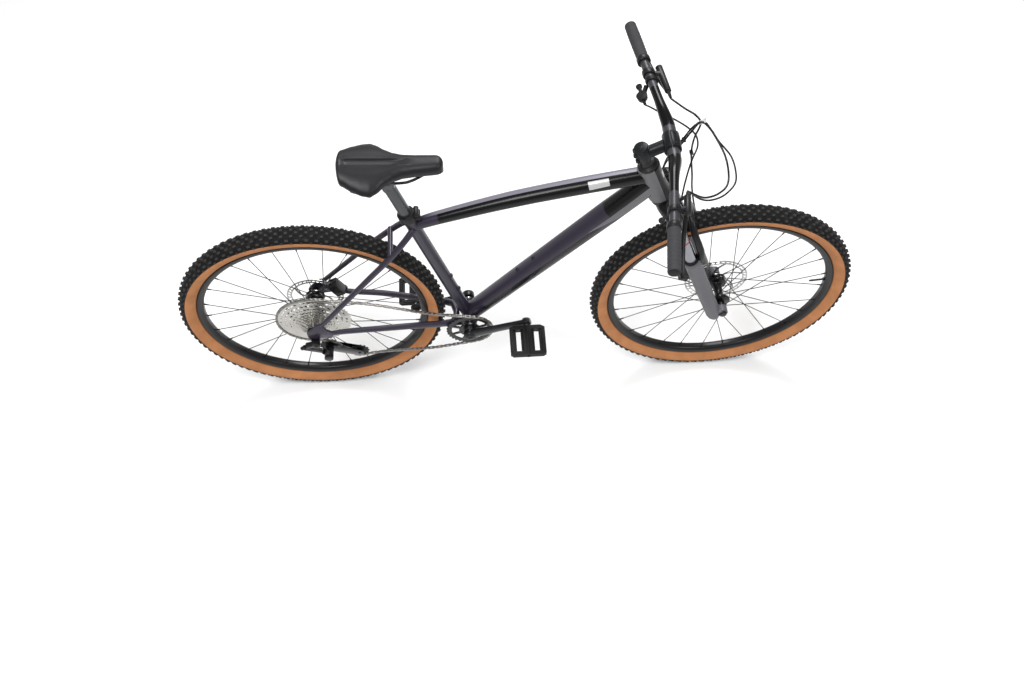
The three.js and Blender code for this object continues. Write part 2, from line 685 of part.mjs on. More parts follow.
function seatpost() {
  const post = rod(seatPoint(0, 0, 250), seatPoint(0, 0, POST_TOP), 15.8, 20);
  const head = block(seatPoint(0, 0, POST_TOP + 12), v(40, 30, 38));
  const cradle = block(v(seatPoint(0, 0, POST_TOP).x, 0, RAIL_HEIGHT), v(40, 62, 18));
  const rails = [-22, 22].map((y) => rod(v(-420, y, RAIL_HEIGHT), v(-200, y, RAIL_HEIGHT), 4.9, 10));
  return cut(joined(post, head, cradle), ...rails);
}

function saddleRails() {
  const bend = [
    v(-412, -28, 937), v(-398, -25, 928), v(-376, -22, RAIL_HEIGHT), v(-284, -22, RAIL_HEIGHT),
      v(-256, -20, 928),
    v(-226, -12, 939), v(-218, 0, 941), v(-226, 12, 939), v(-256, 20, 928), v(-284, 22, RAIL_HEIGHT),
    v(-376, 22, RAIL_HEIGHT), v(-398, 25, 928), v(-412, 28, 937),
  ];
  return cable(bend, 3.5, 8, 30);
}

// The saddle's plan: half widths from the tail to the nose.
const SADDLE_TAIL = -427;
const SADDLE_NOSE = -179;
const SADDLE_PLAN = [[0, 30], [0.04, 52], [0.12, 68], [0.22, 73], [0.34, 68], [0.48, 48], [0.62, 32],
  [0.8, 24], [0.94, 20], [1, 10]];

function saddleHalf(t) {
  const k = Math.max(1, SADDLE_PLAN.findIndex(([at]) => at >= t));
  const [[t0, w0], [t1, w1]] = [SADDLE_PLAN[k - 1], SADDLE_PLAN[k]];
  return THREE.MathUtils.lerp(w0, w1, (t - t0) / (t1 - t0));
}

// A layer of the saddle between two heights given at (along, across): along runs 0 to 1 from the
// tail to the nose, and across is y.
function saddleLayer(inset, low, high) {
  const solid = new THREE.BoxGeometry(1, 1, 1, 10, 6, 1);
  const p = solid.attributes.position;
  const length = SADDLE_NOSE - SADDLE_TAIL - 2 * inset;
  for (let i = 0; i < p.count; i += 1) {
    const t = THREE.MathUtils.clamp(p.getX(i) + 0.5, 0, 1);
    const y = 2 * p.getY(i) * Math.max(saddleHalf(t) - inset, 5);
    const height = p.getZ(i) > 0 ? high(t, y) : low(t, y);
    p.setXYZ(i, SADDLE_TAIL + inset + t * length, y, height);
  }
  return solid;
}

const saddleTop = (t, y) => 979 - 8 * Math.sin((Math.PI / 2) * Math.min(1, t * 1.4)) - 26 * (y / 73) ** 2;
const saddleBase = (t, y) => 953 - 24 * (y / 73) ** 2;

function saddleCover() {
  return saddleLayer(0, saddleBase, saddleTop);
}

function saddleShell() {
  return saddleLayer(7, (t, y) => saddleBase(t, y) - 6, (t, y) => saddleBase(t, y) - 2);
}

// ---- Steering: crown, stanchions, headset, stem and bar -------------------------------------------
const CROWN_LOW = 448;
const LEG_SIDES = 14;
const BAR_CENTRE = v(70, 0, 664);
const BAR_ENDS = v(28, BAR_HALF_WIDTH, 701);

function barCentre(y) {
  const a = Math.abs(y);
  if (a <= 40) return v(BAR_CENTRE.x, y, BAR_CENTRE.z);
  const rise = THREE.MathUtils.smoothstep(a, 40, 110);
  const sweep = THREE.MathUtils.clamp((a - 60) / (BAR_HALF_WIDTH - 60), 0, 1);
  const w = BAR_CENTRE.z + 14 * rise + (BAR_ENDS.z - BAR_CENTRE.z - 14) * sweep;
  return v(BAR_CENTRE.x + (BAR_ENDS.x - BAR_CENTRE.x) * sweep, y, w);
}

function barRadius(y) {
  return 15.9 - 4.8 * THREE.MathUtils.smoothstep(Math.abs(y), 45, 140);
}

// A ring-sectioned tube on the bar's own bent centre line; radii may depend on y.
function alongBar(from, to, outerAt, innerAt, sides = 14, steps = 4) {
  const profile = [];
  for (let i = 0; i <= steps; i += 1) {
    const y = from + ((to - from) * i) / steps;
    profile.push([outerAt(y), y]);
  }
  for (let i = steps; i >= 0; i -= 1) {
    const y = from + ((to - from) * i) / steps;
    profile.push([innerAt(y), y]);
  }
  const shape = turned([...profile, profile[0]], HERE, LEFT, sides);
  const p = shape.attributes.position;
  for (let i = 0; i < p.count; i += 1) {
    const centre = barCentre(p.getY(i));
    p.setXYZ(i, p.getX(i) + centre.x, p.getY(i), p.getZ(i) + centre.z);
  }
  return shape;
}

function handlebar() {
  const end = BAR_HALF_WIDTH - 2;
  return alongBar(-end, end, barRadius, (y) => barRadius(y) - 2, 12, 14);
}

function grip(side) {
  const inner = () => CLAMP_BORE;
  const outer = (y) => (Math.abs(Math.abs(y) - 255) < 8 ? 16.5 : 15.5);
  const body = alongBar(side * 250, side * (BAR_HALF_WIDTH - 1.5), outer, inner, 12, 3);
  const capCentre = barCentre(side * BAR_HALF_WIDTH);
  const cap = rod(v(capCentre.x, side * (BAR_HALF_WIDTH - 1.6), capCentre.z),
    v(capCentre.x, side * BAR_HALF_WIDTH, capCentre.z), 15.5, 12);
  return joined(body, cap);
}

const CLAMP_BORE = 12.1;

function forkCrown() {
  const steerer = rod(v(0, 0, 470), v(0, 0, 670), 14.3, 14);
  const race = rod(v(0, 0, 486), v(0, 0, 498.6), 27, 20, 25);
  const bridge = shapedTube([[v(LEG_U, -LEG_SPREAD, 468), 19, 19], [v(8, -30, 469), 18, 19],
    [v(2, 0, 470), 18, 18],
    [v(8, 30, 469), 18, 19], [v(LEG_U, LEG_SPREAD, 468), 19, 19]], 10, 6);
  const ends = [-LEG_SPREAD, LEG_SPREAD].map((y) => rod(v(LEG_U, y, CROWN_LOW), v(LEG_U, y, 489),
    22, LEG_SIDES));
  const bores = [-LEG_SPREAD, LEG_SPREAD].map((y) => rod(v(LEG_U, y, CROWN_LOW - 30), v(LEG_U, y, 484),
    16.4, LEG_SIDES));
  return cut(joined(steerer, race, bridge, ...ends), ...bores);
}

function stanchion(side) {
  const y = side * LEG_SPREAD;
  return ring(v(LEG_U, y, 165), v(LEG_U, y, 483.5), 16, 13, LEG_SIDES);
}

function headsetSpacers() {
  const profile = [[14.8, 0], [25, 0], [24, 6], [18.5, 10], [17.5, 10.5], [17.5, 24], [14.8, 24],
    [14.8, 0]];
  return turned(profile, v(0, 0, HEAD_TUBE_TOP + GAP), v(0, 0, HEAD_TUBE_TOP + 30), 20);
}

const STEM_LOW = HEAD_TUBE_TOP + 24 + 2 * GAP;

function stem() {
  const collar = rod(v(0, 0, STEM_LOW), v(0, 0, STEM_LOW + 40), 19, 16);
  const cap = rod(v(0, 0, STEM_LOW + 39), v(0, 0, STEM_LOW + 45), 17, 16);
  const arm = rod(v(8, 0, STEM_LOW + 20), v(BAR_CENTRE.x - 16, 0, BAR_CENTRE.z), 15, 12);
  const clamp = rod(v(BAR_CENTRE.x, -24, BAR_CENTRE.z), v(BAR_CENTRE.x, 24, BAR_CENTRE.z), 21, 16);
  const bar = rod(v(BAR_CENTRE.x, -50, BAR_CENTRE.z), v(BAR_CENTRE.x, 50, BAR_CENTRE.z), 17.2, 16);
  const front = block(v(BAR_CENTRE.x + 26, 0, BAR_CENTRE.z), v(48, 60, 60));
  const bore = rod(v(0, 0, STEM_LOW - 10), v(0, 0, 671), 14.8, 16);
  return cut(joined(collar, arm, clamp, cap), bar, front, bore);
}

function faceplate() {
  const clamp = rod(v(BAR_CENTRE.x, -24, BAR_CENTRE.z), v(BAR_CENTRE.x, 24, BAR_CENTRE.z), 21, 16);
  const bar = rod(v(BAR_CENTRE.x, -50, BAR_CENTRE.z), v(BAR_CENTRE.x, 50, BAR_CENTRE.z), 17.2, 16);
  const back = block(v(BAR_CENTRE.x - 21.5, 0, BAR_CENTRE.z), v(50, 60, 60));
  return cut(clamp, bar, back);
}

// ---- Controls -------------------------------------------------------------------------------------
const CLAMP_Y = 210;
const LEVER_PIVOT_Y = 172;
const MASTER_U = 28;
const MASTER_W = -10;
// Along the bar: the master cylinder's outer end, its inner end and the end of its hose boot.
const MASTERS = { '-1': [222, 172, 160], 1: [230, 150, 128] };

function barOffset(side, y, u, w) {
  const centre = barCentre(side * y);
  return v(centre.x + u, side * y, centre.z + w);
}

function brakeMaster(side) {
  const [far, near, boot] = MASTERS[side];
  const clamp = alongBar(side * (CLAMP_Y - 7), side * (CLAMP_Y + 7), () => 15.8, () => CLAMP_BORE, 12, 1);
  const bridge = rod(barOffset(side, CLAMP_Y, 13.5, -4), barOffset(side, CLAMP_Y - 4, MASTER_U,
    MASTER_W + 2), 6.5, 8);
  const cylinder = rod(barOffset(side, far, MASTER_U, MASTER_W),
    barOffset(side, near, MASTER_U, MASTER_W), 9, 10, 8);
  const nipple = rod(barOffset(side, near + 1, MASTER_U, MASTER_W),
    barOffset(side, boot, MASTER_U, MASTER_W), 5, 8, 3.4);
  const horn = rod(barOffset(side, LEVER_PIVOT_Y + 4, MASTER_U, MASTER_W),
    barOffset(side, LEVER_PIVOT_Y, 27, -18.4), 6.5, 8);
  return joined(clamp, bridge, cylinder, nipple, horn);
}

function brakeLever(side) {
  const at = (y, u, w) => barOffset(side, y, u, w);
  const stations = [
    [at(LEVER_PIVOT_Y - 4, 26, -25.5), 5, 5.5], [at(200, 20, -31), 4.5, 5.5], [at(250, 12, -40), 4, 6],
      [at(320, 7, -45), 4, 6.5],
    [at(356, 7, -44), 4, 6], [at(368, 8, -46), 5, 5],
  ];
  return shapedLever(stations);
}

// A lever blade: its section stays square to the bar.
function shapedLever(stations) {
  const curve = new THREE.CatmullRomCurve3(stations.map((s) => s[0]));
  const shape = new THREE.CylinderGeometry(1, 1, 1, 8, 10);
  const p = shape.attributes.position;
  for (let i = 0; i < p.count; i += 1) {
    const t = THREE.MathUtils.clamp(p.getY(i) + 0.5, 0, 1);
    const at = t * (stations.length - 1);
    const k = Math.min(Math.floor(at), stations.length - 2);
    const tall = THREE.MathUtils.lerp(stations[k][1], stations[k + 1][1], at - k);
    const wide = THREE.MathUtils.lerp(stations[k][2], stations[k + 1][2], at - k);
    const place = curve.getPoint(t);
    p.setXYZ(i, place.x + p.getX(i) * wide, place.y, place.z + p.getZ(i) * tall);
  }
  return shape;
}

const POD_Y = 186;
const LEVER_PLATE = 4;

// A control's clamp and its body: the body's lower face carries the levers.
function controlPod(side, centre, barrelEnd) {
  const clamp = alongBar(side * (POD_Y - 5), side * (POD_Y + 5), () => 15, () => CLAMP_BORE, 12, 1);
  const [y, u, w] = centre;
  const top = barOffset(side, y, u, w + 14);
  const neck = rod(barOffset(side, POD_Y, 0.45 * u, 0.45 * w), barOffset(side, y, u, w + 6), 6, 8);
  const pod = rod(top, barOffset(side, y, u, w), 14, 12, 12);
  const barrel = rod(barOffset(side, y - 6, u, w + 7), barOffset(side, ...barrelEnd), 4.5, 8, 3.6);
  const bar = alongBar(side * (POD_Y - 30), side * (POD_Y + 30), () => CLAMP_BORE, () => 2, 12, 2);
  return cut(joined(clamp, neck, pod, barrel), bar);
}

const SHIFTER_AT = [170, -12, -40];
const REMOTE_AT = [162, -34, -22];

// A thumb lever under its pod: layer 0 is the upper one, and angle is measured from forward.
function thumbLever(side, [y, u, w], layer, length, angle, tipRadius) {
  const pivot = barOffset(side, y, u, w);
  const high = pivot.z - GAP - layer * (LEVER_PLATE + 1);
  const low = high - LEVER_PLATE;
  const direction = v(Math.cos(rad(angle)), side * Math.sin(rad(angle)), 0);
  const tip = pivot.clone().addScaledVector(direction, length);
  const at = (point, z) => v(point.x, point.y, z);
  const arm = new THREE.BoxGeometry(length, 9, LEVER_PLATE).translate(length / 2, 0, 0);
  arm.rotateZ(Math.atan2(direction.y, direction.x)).translate(pivot.x, pivot.y, (low + high) / 2);
  return joined(rod(at(pivot, low), at(pivot, high), 9, 10), arm, rod(at(tip, low - 2), at(tip, high),
    tipRadius, 10));
}

function lockoutDial() {
  return joined(
    rod(v(LEG_U, -LEG_SPREAD, 489.5), v(LEG_U, -LEG_SPREAD, 497), 13, 16),
    rod(v(LEG_U, -LEG_SPREAD, 496), v(LEG_U, -LEG_SPREAD, 503), 8, 12),
  );
}

// ---- Fork lowers -------------------------------------------------------------------------------------
function forkLowers() {
  const leg = (y) => turned([[0, 0], [14, 1], [21, 22], [22, 290], [24, 292], [24, 304], [0, 304]],
    v(LEG_U, y, -24), v(LEG_U, y, 300), LEG_SIDES);
  const sides = [-LEG_SPREAD, LEG_SPREAD];
  const legs = sides.map(leg);
  const boss = sides.map((y) => rod(v(FORK_OFFSET, Math.sign(y) * 55, 0),
    v(FORK_OFFSET, Math.sign(y) * 76, 0), 14.5, 16));
  const webs = sides.map((y) => block(v(36, Math.sign(y) * 65.5, 4), v(30, 19, 34)));
  const arch = shapedTube([
    [v(34, -LEG_SPREAD, 262), 12, 9], [v(46, -61, 320), 10, 8], [v(51, -48, 372), 9, 9],
      [v(53, 0, 396), 9, 11],
    [v(51, 48, 372), 9, 9], [v(46, 61, 320), 10, 8], [v(34, LEG_SPREAD, 262), 12, 9],
  ], 8, 12);
  const post = block(v(-6, 67, 66), v(26, 14, 52));
  const bores = sides.map((y) => rod(v(LEG_U, y, 26), v(LEG_U, y, 345), 16 + BORE_GAP, LEG_SIDES));
  const axleBore = rod(v(FORK_OFFSET, -90, 0), v(FORK_OFFSET, 90, 0), 7.9, 16);
  const hubRoom = rod(v(FORK_OFFSET, -55, 0), v(FORK_OFFSET, 55, 0), 12.6, 16);
  const headRoom = rod(v(FORK_OFFSET, -95, 0), v(FORK_OFFSET, -76, 0), 11.2, 16);
  return cut(joined(legs[0], legs[1], ...boss, ...webs, arch, post), ...bores, axleBore, hubRoom, headRoom);
}

function frontAxle() {
  const shaft = rod(v(FORK_OFFSET, -77, 0), v(FORK_OFFSET, 78, 0), 7.5, 16);
  const head = rod(v(FORK_OFFSET, -82, 0), v(FORK_OFFSET, -76.4, 0), 10.5, 16);
  return joined(shaft, head);
}

function frontCaliper() {
  return caliper(v(-26, 0, 74), rad(-46), FRONT_ROTOR_Y);
}

// ---- Hoses and cables ----------------------------------------------------------------------------------
const PORT = steerPoint(-34, 6, 566);

function steeringRoutes() {
  const end = (side, y, u, w) => barOffset(side, y, u, w);
  return {
    rearHose: [end(-1, 157, MASTER_U, MASTER_W), v(104, -156, 645), v(119, -148, 622),
      v(143, -130, 600), v(166, -106, 589),
      v(176, -72, 588), v(178, -30, 602), v(168, 10, 627), v(158, 30, 648), v(144, 40, 660),
        v(119, 35, 645),
      v(92, 30, 623), v(70, 28, 605), v(52, 26, 592), v(36, 24, 574), v(25, 21, 560)],
    gearCable: [end(-1, 145.9, 31, -33), v(103, -143, 618), v(124, -139, 597), v(154, -120, 576),
      v(183, -91, 568),
      v(192, -60, 573), v(190, -25, 590), v(172, 6, 616), v(163, 28, 634), v(150, 47, 652), v(124, 43, 649),
      v(95, 37, 627), v(73, 34.5, 608), v(55, 33, 595), v(39, 31, 576), v(27, 27, 558)],
    frontHose: [end(1, 126, MASTER_U, MASTER_W), v(116, 85, 671), v(136, 62, 664), v(142, 54, 640),
      v(118, 53, 600),
      v(102, 53, 560), v(92, 55, 515), v(82, 60, 460), v(70, 71, 400), v(60, 81, 330), v(50, 89, 240),
        v(38, 93, 170),
      v(16, 94, 130), v(-6, 90, 112), v(-20, 78, 96), v(-28, 67, 84), v(-30, 60.4, 78)],
    lockoutCable: [end(1, 136.5, -34, -15), v(38, 126, 665), v(57, 105, 661), v(85, 80, 652),
      v(110, 58, 636),
      v(124, 40, 620), v(121, 24, 600), v(103, 5, 586), v(86, -12, 568), v(66, -32, 540),
        v(48, -52, 512), v(34.5, -62, 501)],
  };
}

// ---- Assembly -----------------------------------------------------------------------------------------
function addFrame(bike) {
  add(bike, 'head_tube', headTube(), framePaint);
  add(bike, 'top_tube', topTube(), framePaint);
  add(bike, 'down_tube', downTube(), framePaint);
  add(bike, 'seat_tube', seatTube(), framePaint);
  add(bike, 'chainstays', chainstays(), framePaint);
  add(bike, 'seatstays', seatstays(), framePaint);
  add(bike, 'seat_clamp', seatClamp(), satinBlack);
  add(bike, 'rear_axle', rearAxle(), anodised);
  add(bike, 'rear_caliper', rearCaliper(), satinBlack);
  add(bike, 'chain', chain(), warmSteel);
}

function addDerailleur(bike) {
  add(bike, 'derailleur_hanger', derailleurHanger(), satinBlack);
  add(bike, 'derailleur_link', derailleurLink(), anodised);
  add(bike, 'derailleur_knuckle', derailleurKnuckle(), anodised);
  add(bike, 'derailleur_cage', derailleurCage(), satinBlack);
  add(bike, 'guide_pulley', pulley(GUIDE_PULLEY), plasticBlack);
  add(bike, 'tension_pulley', pulley(TENSION_PULLEY), plasticBlack);
}

function addDrivetrain(bike) {
  const wheel = new THREE.Group();
  wheel.position.copy(REAR_AXLE);
  add(wheel, 'cassette', cassette(), warmSteel);
  bike.add(wheel);
  add(bike, 'right_crank', rightCrank(), satinBlack);
  add(bike, 'left_crank', leftCrank(), satinBlack);
  add(bike, 'chainring', chainring(), satinBlack);
  add(bike, 'right_pedal', pedal(1), plasticBlack);
  add(bike, 'left_pedal', pedal(-1), plasticBlack);
}

function addSeat(bike) {
  add(bike, 'seatpost', seatpost(), anodised);
  add(bike, 'saddle_rails', saddleRails(), satinBlack);
  add(bike, 'saddle_shell', saddleShell(), plasticBlack);
  add(bike, 'saddle_cover', saddleCover(), rubber);
}

function addSteering(bike) {
  const steering = new THREE.Group();
  steering.position.copy(STEER_FOOT);
  steering.rotation.y = STEER_TILT;
  add(steering, 'fork_crown', forkCrown(), satinBlack);
  add(steering, 'right_stanchion', stanchion(-1), polished);
  add(steering, 'left_stanchion', stanchion(1), polished);
  add(steering, 'headset_spacers', headsetSpacers(), satinBlack);
  add(steering, 'stem', stem(), anodised);
  add(steering, 'stem_faceplate', faceplate(), anodised);
  add(steering, 'handlebar', handlebar(), anodised);
  for (const [name, side] of [['right', -1], ['left', 1]]) {
    add(steering, `${name}_grip`, grip(side), rubber);
    add(steering, `${name}_brake_master`, brakeMaster(side), satinBlack);
    add(steering, `${name}_brake_lever`, brakeLever(side), anodised);
  }
  add(steering, 'shifter', controlPod(-1, SHIFTER_AT, [148, 30, -33]), plasticBlack);
  add(steering, 'shift_lever', thumbLever(-1, SHIFTER_AT, 1, 36, 150, 7.5), plasticBlack);
  add(steering, 'release_lever', thumbLever(-1, SHIFTER_AT, 0, 28, 40, 6), plasticBlack);
  add(steering, 'lockout_remote', controlPod(1, REMOTE_AT, [138, -34, -15]), plasticBlack);
  add(steering, 'lockout_lever', thumbLever(1, REMOTE_AT, 0, 46, 96, 8), plasticBlack);
  add(steering, 'lockout_dial', lockoutDial(), anodised);
  add(steering, 'fork_lowers', forkLowers(), matteGrey);
  add(steering, 'front_axle', frontAxle(), anodised);
  add(steering, 'front_caliper', frontCaliper(), satinBlack);
  const routes = steeringRoutes();
  add(steering, 'rear_brake_hose', cable(routes.rearHose, 2.5, 8, 32), cableBlack);
  add(steering, 'gear_cable', cable(routes.gearCable, 2.2, 8, 32), cableBlack);
  add(steering, 'front_brake_hose', cable(routes.frontHose, 2.5, 8, 36), cableBlack);
  add(steering, 'lockout_cable', cable(routes.lockoutCable, 2.2, 8, 24), cableBlack);
  bike.add(steering);
}

const REAR_HUB = {
  ends: [-24.8, 73.6], leftFlange: 35, rightFlange: -19, barrel: 13, flangeRadius: 28, bore: 6.4,
    seat: 50.7,
};
const FRONT_HUB = {
  ends: [-54.5, 54.5], leftFlange: 27, rightFlange: -33, barrel: 13, flangeRadius: 27, bore: 7.9,
    seat: 38.7,
};

const bike = new THREE.Group();
addFrame(bike);
addDerailleur(bike);
addDrivetrain(bike);
addSeat(bike);
addSteering(bike);
addWheel(bike, 'rear', REAR_AXLE, REAR_HUB, 80, REAR_ROTOR_Y);
addWheel(bike, 'front', FRONT_AXLE, FRONT_HUB, 90, FRONT_ROTOR_Y);

export default bike;
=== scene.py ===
"""A hardtail mountain bike, dressed on its CAD frame: tyres, wheels, drivetrain, fork and cockpit.

Shapes are worked out in millimetres, +X forward, +Y to the rider's left, +Z up, and written in metres.
"""

import json
import logging
import math
from collections.abc import Callable, Iterable, Sequence
from dataclasses import dataclass, field
from enum import Enum
from typing import Any

import bmesh
import bpy
from mathutils import Matrix, Vector


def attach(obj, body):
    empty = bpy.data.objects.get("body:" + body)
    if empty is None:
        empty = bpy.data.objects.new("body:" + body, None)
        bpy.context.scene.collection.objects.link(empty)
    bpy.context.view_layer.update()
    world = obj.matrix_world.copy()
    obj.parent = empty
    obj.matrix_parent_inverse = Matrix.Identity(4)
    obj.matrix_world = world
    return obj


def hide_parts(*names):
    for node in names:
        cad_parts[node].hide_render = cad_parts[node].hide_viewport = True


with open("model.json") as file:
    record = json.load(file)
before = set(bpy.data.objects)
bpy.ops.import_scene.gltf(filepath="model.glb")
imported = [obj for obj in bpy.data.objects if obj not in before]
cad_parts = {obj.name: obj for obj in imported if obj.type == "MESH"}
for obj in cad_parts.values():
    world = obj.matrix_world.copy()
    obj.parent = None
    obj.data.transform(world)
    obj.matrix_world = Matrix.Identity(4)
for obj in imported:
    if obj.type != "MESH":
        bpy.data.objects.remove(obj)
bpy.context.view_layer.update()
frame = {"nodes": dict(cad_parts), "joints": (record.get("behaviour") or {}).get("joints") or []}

LOG = logging.getLogger("bike")
MM = 0.001
FULL_TURN = 2 * math.pi
SHARP_ANGLE = 38.0

Point = tuple[float, float, float]
Station = tuple[Vector, float, float]
Profile = Sequence[tuple[float, float]]


def joint_place(name: str) -> Vector:
    """A joint's position in millimetres."""
    found = next(joint for joint in frame["joints"] if joint["name"] == name)
    return Vector(found["pos_m"]) / MM


def joint_axis(name: str) -> Vector:
    """A joint's axis as a unit vector."""
    found = next(joint for joint in frame["joints"] if joint["name"] == name)
    return Vector(found["axis"]).normalized()


REAR_AXLE = joint_place("rear_wheel_spin")
FRONT_AXLE = joint_place("front_wheel_spin")
BOTTOM_BRACKET = joint_place("crank_spin")
GUIDE_PULLEY = joint_place("guide_pulley_spin")
TENSION_PULLEY = joint_place("tension_pulley_spin")
RIGHT_PEDAL = joint_place("right_pedal_spin")
LEFT_PEDAL = joint_place("left_pedal_spin")
STEER_AXIS = joint_axis("steering_turn")
SEAT_AXIS = joint_axis("seatpost_height")
FORK_OFFSET = 46.0
LEG_U = 20.0
LEG_Y = 65.0


@dataclass(frozen=True)
class Axes:
    """A tilted frame in the bike's plane: u forward, y left, w up along its axis."""

    foot: Vector
    up: Vector

    def at(self, u: float, y: float, w: float) -> Vector:
        """The place of a point given in this frame."""
        forward = Vector((self.up.z, 0.0, -self.up.x))
        return self.foot + forward * u + Vector((0.0, y, 0.0)) + self.up * w


STEER = Axes(FRONT_AXLE - Vector((STEER_AXIS.z, 0.0, -STEER_AXIS.x)) * FORK_OFFSET, STEER_AXIS)
SEAT = Axes(BOTTOM_BRACKET, SEAT_AXIS)


def vec(x: float, y: float, z: float) -> Vector:
    """A vector from its three numbers."""
    return Vector((x, y, z))


def smooth_step(value: float, low: float, high: float) -> float:
    """0 below low, 1 above high and an S curve between."""
    t = min(1.0, max(0.0, (value - low) / (high - low)))
    return t * t * (3 - 2 * t)


def srgb(red: int, green: int, blue: int) -> Point:
    """A colour in linear light from its everyday 0 to 255 numbers."""
    def linear(part: int) -> float:
        """One channel in linear light."""
        share = part / 255
        return share / 12.92 if share <= 0.04045 else ((share + 0.055) / 1.055) ** 2.4

    return (linear(red), linear(green), linear(blue))


class Value:
    """A shader socket that takes part in Python expressions."""

    def __init__(self, tree: "Tree", socket: bpy.types.NodeSocket) -> None:
        """Wraps a socket of that tree."""
        self.tree = tree
        self.socket = socket

    def _math(self, operation: str, first: Any, second: Any = 0.0) -> "Value":
        """A Math node of that operation."""
        made = self.tree.node("ShaderNodeMath", {"operation": operation}, {0: first, 1: second})
        return made.out(0)

    def __add__(self, other: Any) -> "Value":
        """Their sum."""
        return self._math("ADD", self, other)

    __radd__ = __add__

    def __sub__(self, other: Any) -> "Value":
        """The difference."""
        return self._math("SUBTRACT", self, other)

    def __rsub__(self, other: Any) -> "Value":
        """The difference the other way round."""
        return self._math("SUBTRACT", other, self)

    def __mul__(self, other: Any) -> "Value":
        """Their product."""
        return self._math("MULTIPLY", self, other)

    __rmul__ = __mul__

    def __truediv__(self, other: Any) -> "Value":
        """The quotient."""
        return self._math("DIVIDE", self, other)

    def above(self, low: float, high: float) -> "Value":
        """A smooth mask: 0 below low and 1 above high."""
        made = self.tree.node(
            "ShaderNodeMapRange",
            {"interpolation_type": "SMOOTHSTEP"},
            {"Value": self, "From Min": low, "From Max": high},
        )
        return made.out(0)

    def within(self, low: float, high: float, soft: float) -> "Value":
        """A smooth mask: 1 between low and high."""
        return self.above(low - soft, low) * (1.0 - self.above(high, high + soft))

    def size(self) -> "Value":
        """The value without its sign."""
        return self._math("ABSOLUTE", self)

    def root(self) -> "Value":
        """The square root."""
        return self._math("SQRT", self)

    def wave(self) -> "Value":
        """The sine of the value."""
        return self._math("SINE", self)

    def larger(self, other: Any) -> "Value":
        """The larger of the two."""
        return self._math("MAXIMUM", self, other)


class Made:
    """A node that has been made, with its outputs."""

    def __init__(self, tree: "Tree", node: bpy.types.Node) -> None:
        """Wraps a node of that tree."""
        self.tree = tree
        self.node = node

    def out(self, key: int | str) -> Value:
        """One of the node's outputs."""
        return Value(self.tree, self.node.outputs[key])


class Tree:
    """The node tree of one material."""

    def __init__(self, name: str) -> None:
        """Starts a material with an empty tree."""
        self.material = bpy.data.materials.new(name)
        self.material.use_nodes = True
        self.nodes = self.material.node_tree.nodes
        self.nodes.clear()
        self.links = self.material.node_tree.links
        place = self.node("ShaderNodeTexCoord", {}, {}).out("Object")
        self.place = place
        parts = self.node("ShaderNodeSeparateXYZ", {}, {0: place})
        self.x, self.y, self.z = parts.out(0), parts.out(1), parts.out(2)

    def node(self, kind: str, settings: dict[str, Any], inputs: dict[Any, Any]) -> Made:
        """Makes a node.

        Args:
            kind: the node's type name.
            settings: its own properties, which are set first.
            inputs: the values or links of its sockets.

        Returns:
            The node with its outputs.
        """
        node = self.nodes.new(kind)
        for key, value in settings.items():
            setattr(node, key, value)
        for key, value in inputs.items():
            if isinstance(value, Value):
                self.links.new(value.socket, node.inputs[key])
            else:
                node.inputs[key].default_value = value
        return Made(self, node)

    def noise(self, scale: float, detail: float = 3.0, stretch: Point = (1.0, 1.0, 1.0)) -> Value:
        """Noise over the surface, from 0 to 1, with so many cells a metre."""
        spread = self.node("ShaderNodeMapping", {}, {"Vector": self.place, "Scale": stretch}).out(0)
        made = self.node(
            "ShaderNodeTexNoise", {}, {"Vector": spread, "Scale": scale, "Detail": detail}
        )
        return made.out(0)

    def mix(self, share: Any, first: Any, second: Any) -> Value:
        """A colour between two colours."""
        def colour(value: Any) -> Any:
            """A plain colour with its alpha."""
            return value if isinstance(value, Value) else (*value, 1.0)

        made = self.node(
            "ShaderNodeMix",
            {"data_type": "RGBA"},
            {0: share, 6: colour(first), 7: colour(second)},
        )
        return made.out(2)

    def radius_about(self, centre: Vector) -> Value:
        """The distance in metres from a line through centre across the bike."""
        across = self.x - centre.x * MM
        height = self.z - centre.z * MM
        return (across * across + height * height).root()

    def along(self, foot: Vector, direction: Vector) -> Value:
        """The distance in metres from foot along a direction in the bike's plane."""
        return (self.x - foot.x * MM) * direction.x + (self.z - foot.z * MM) * direction.z


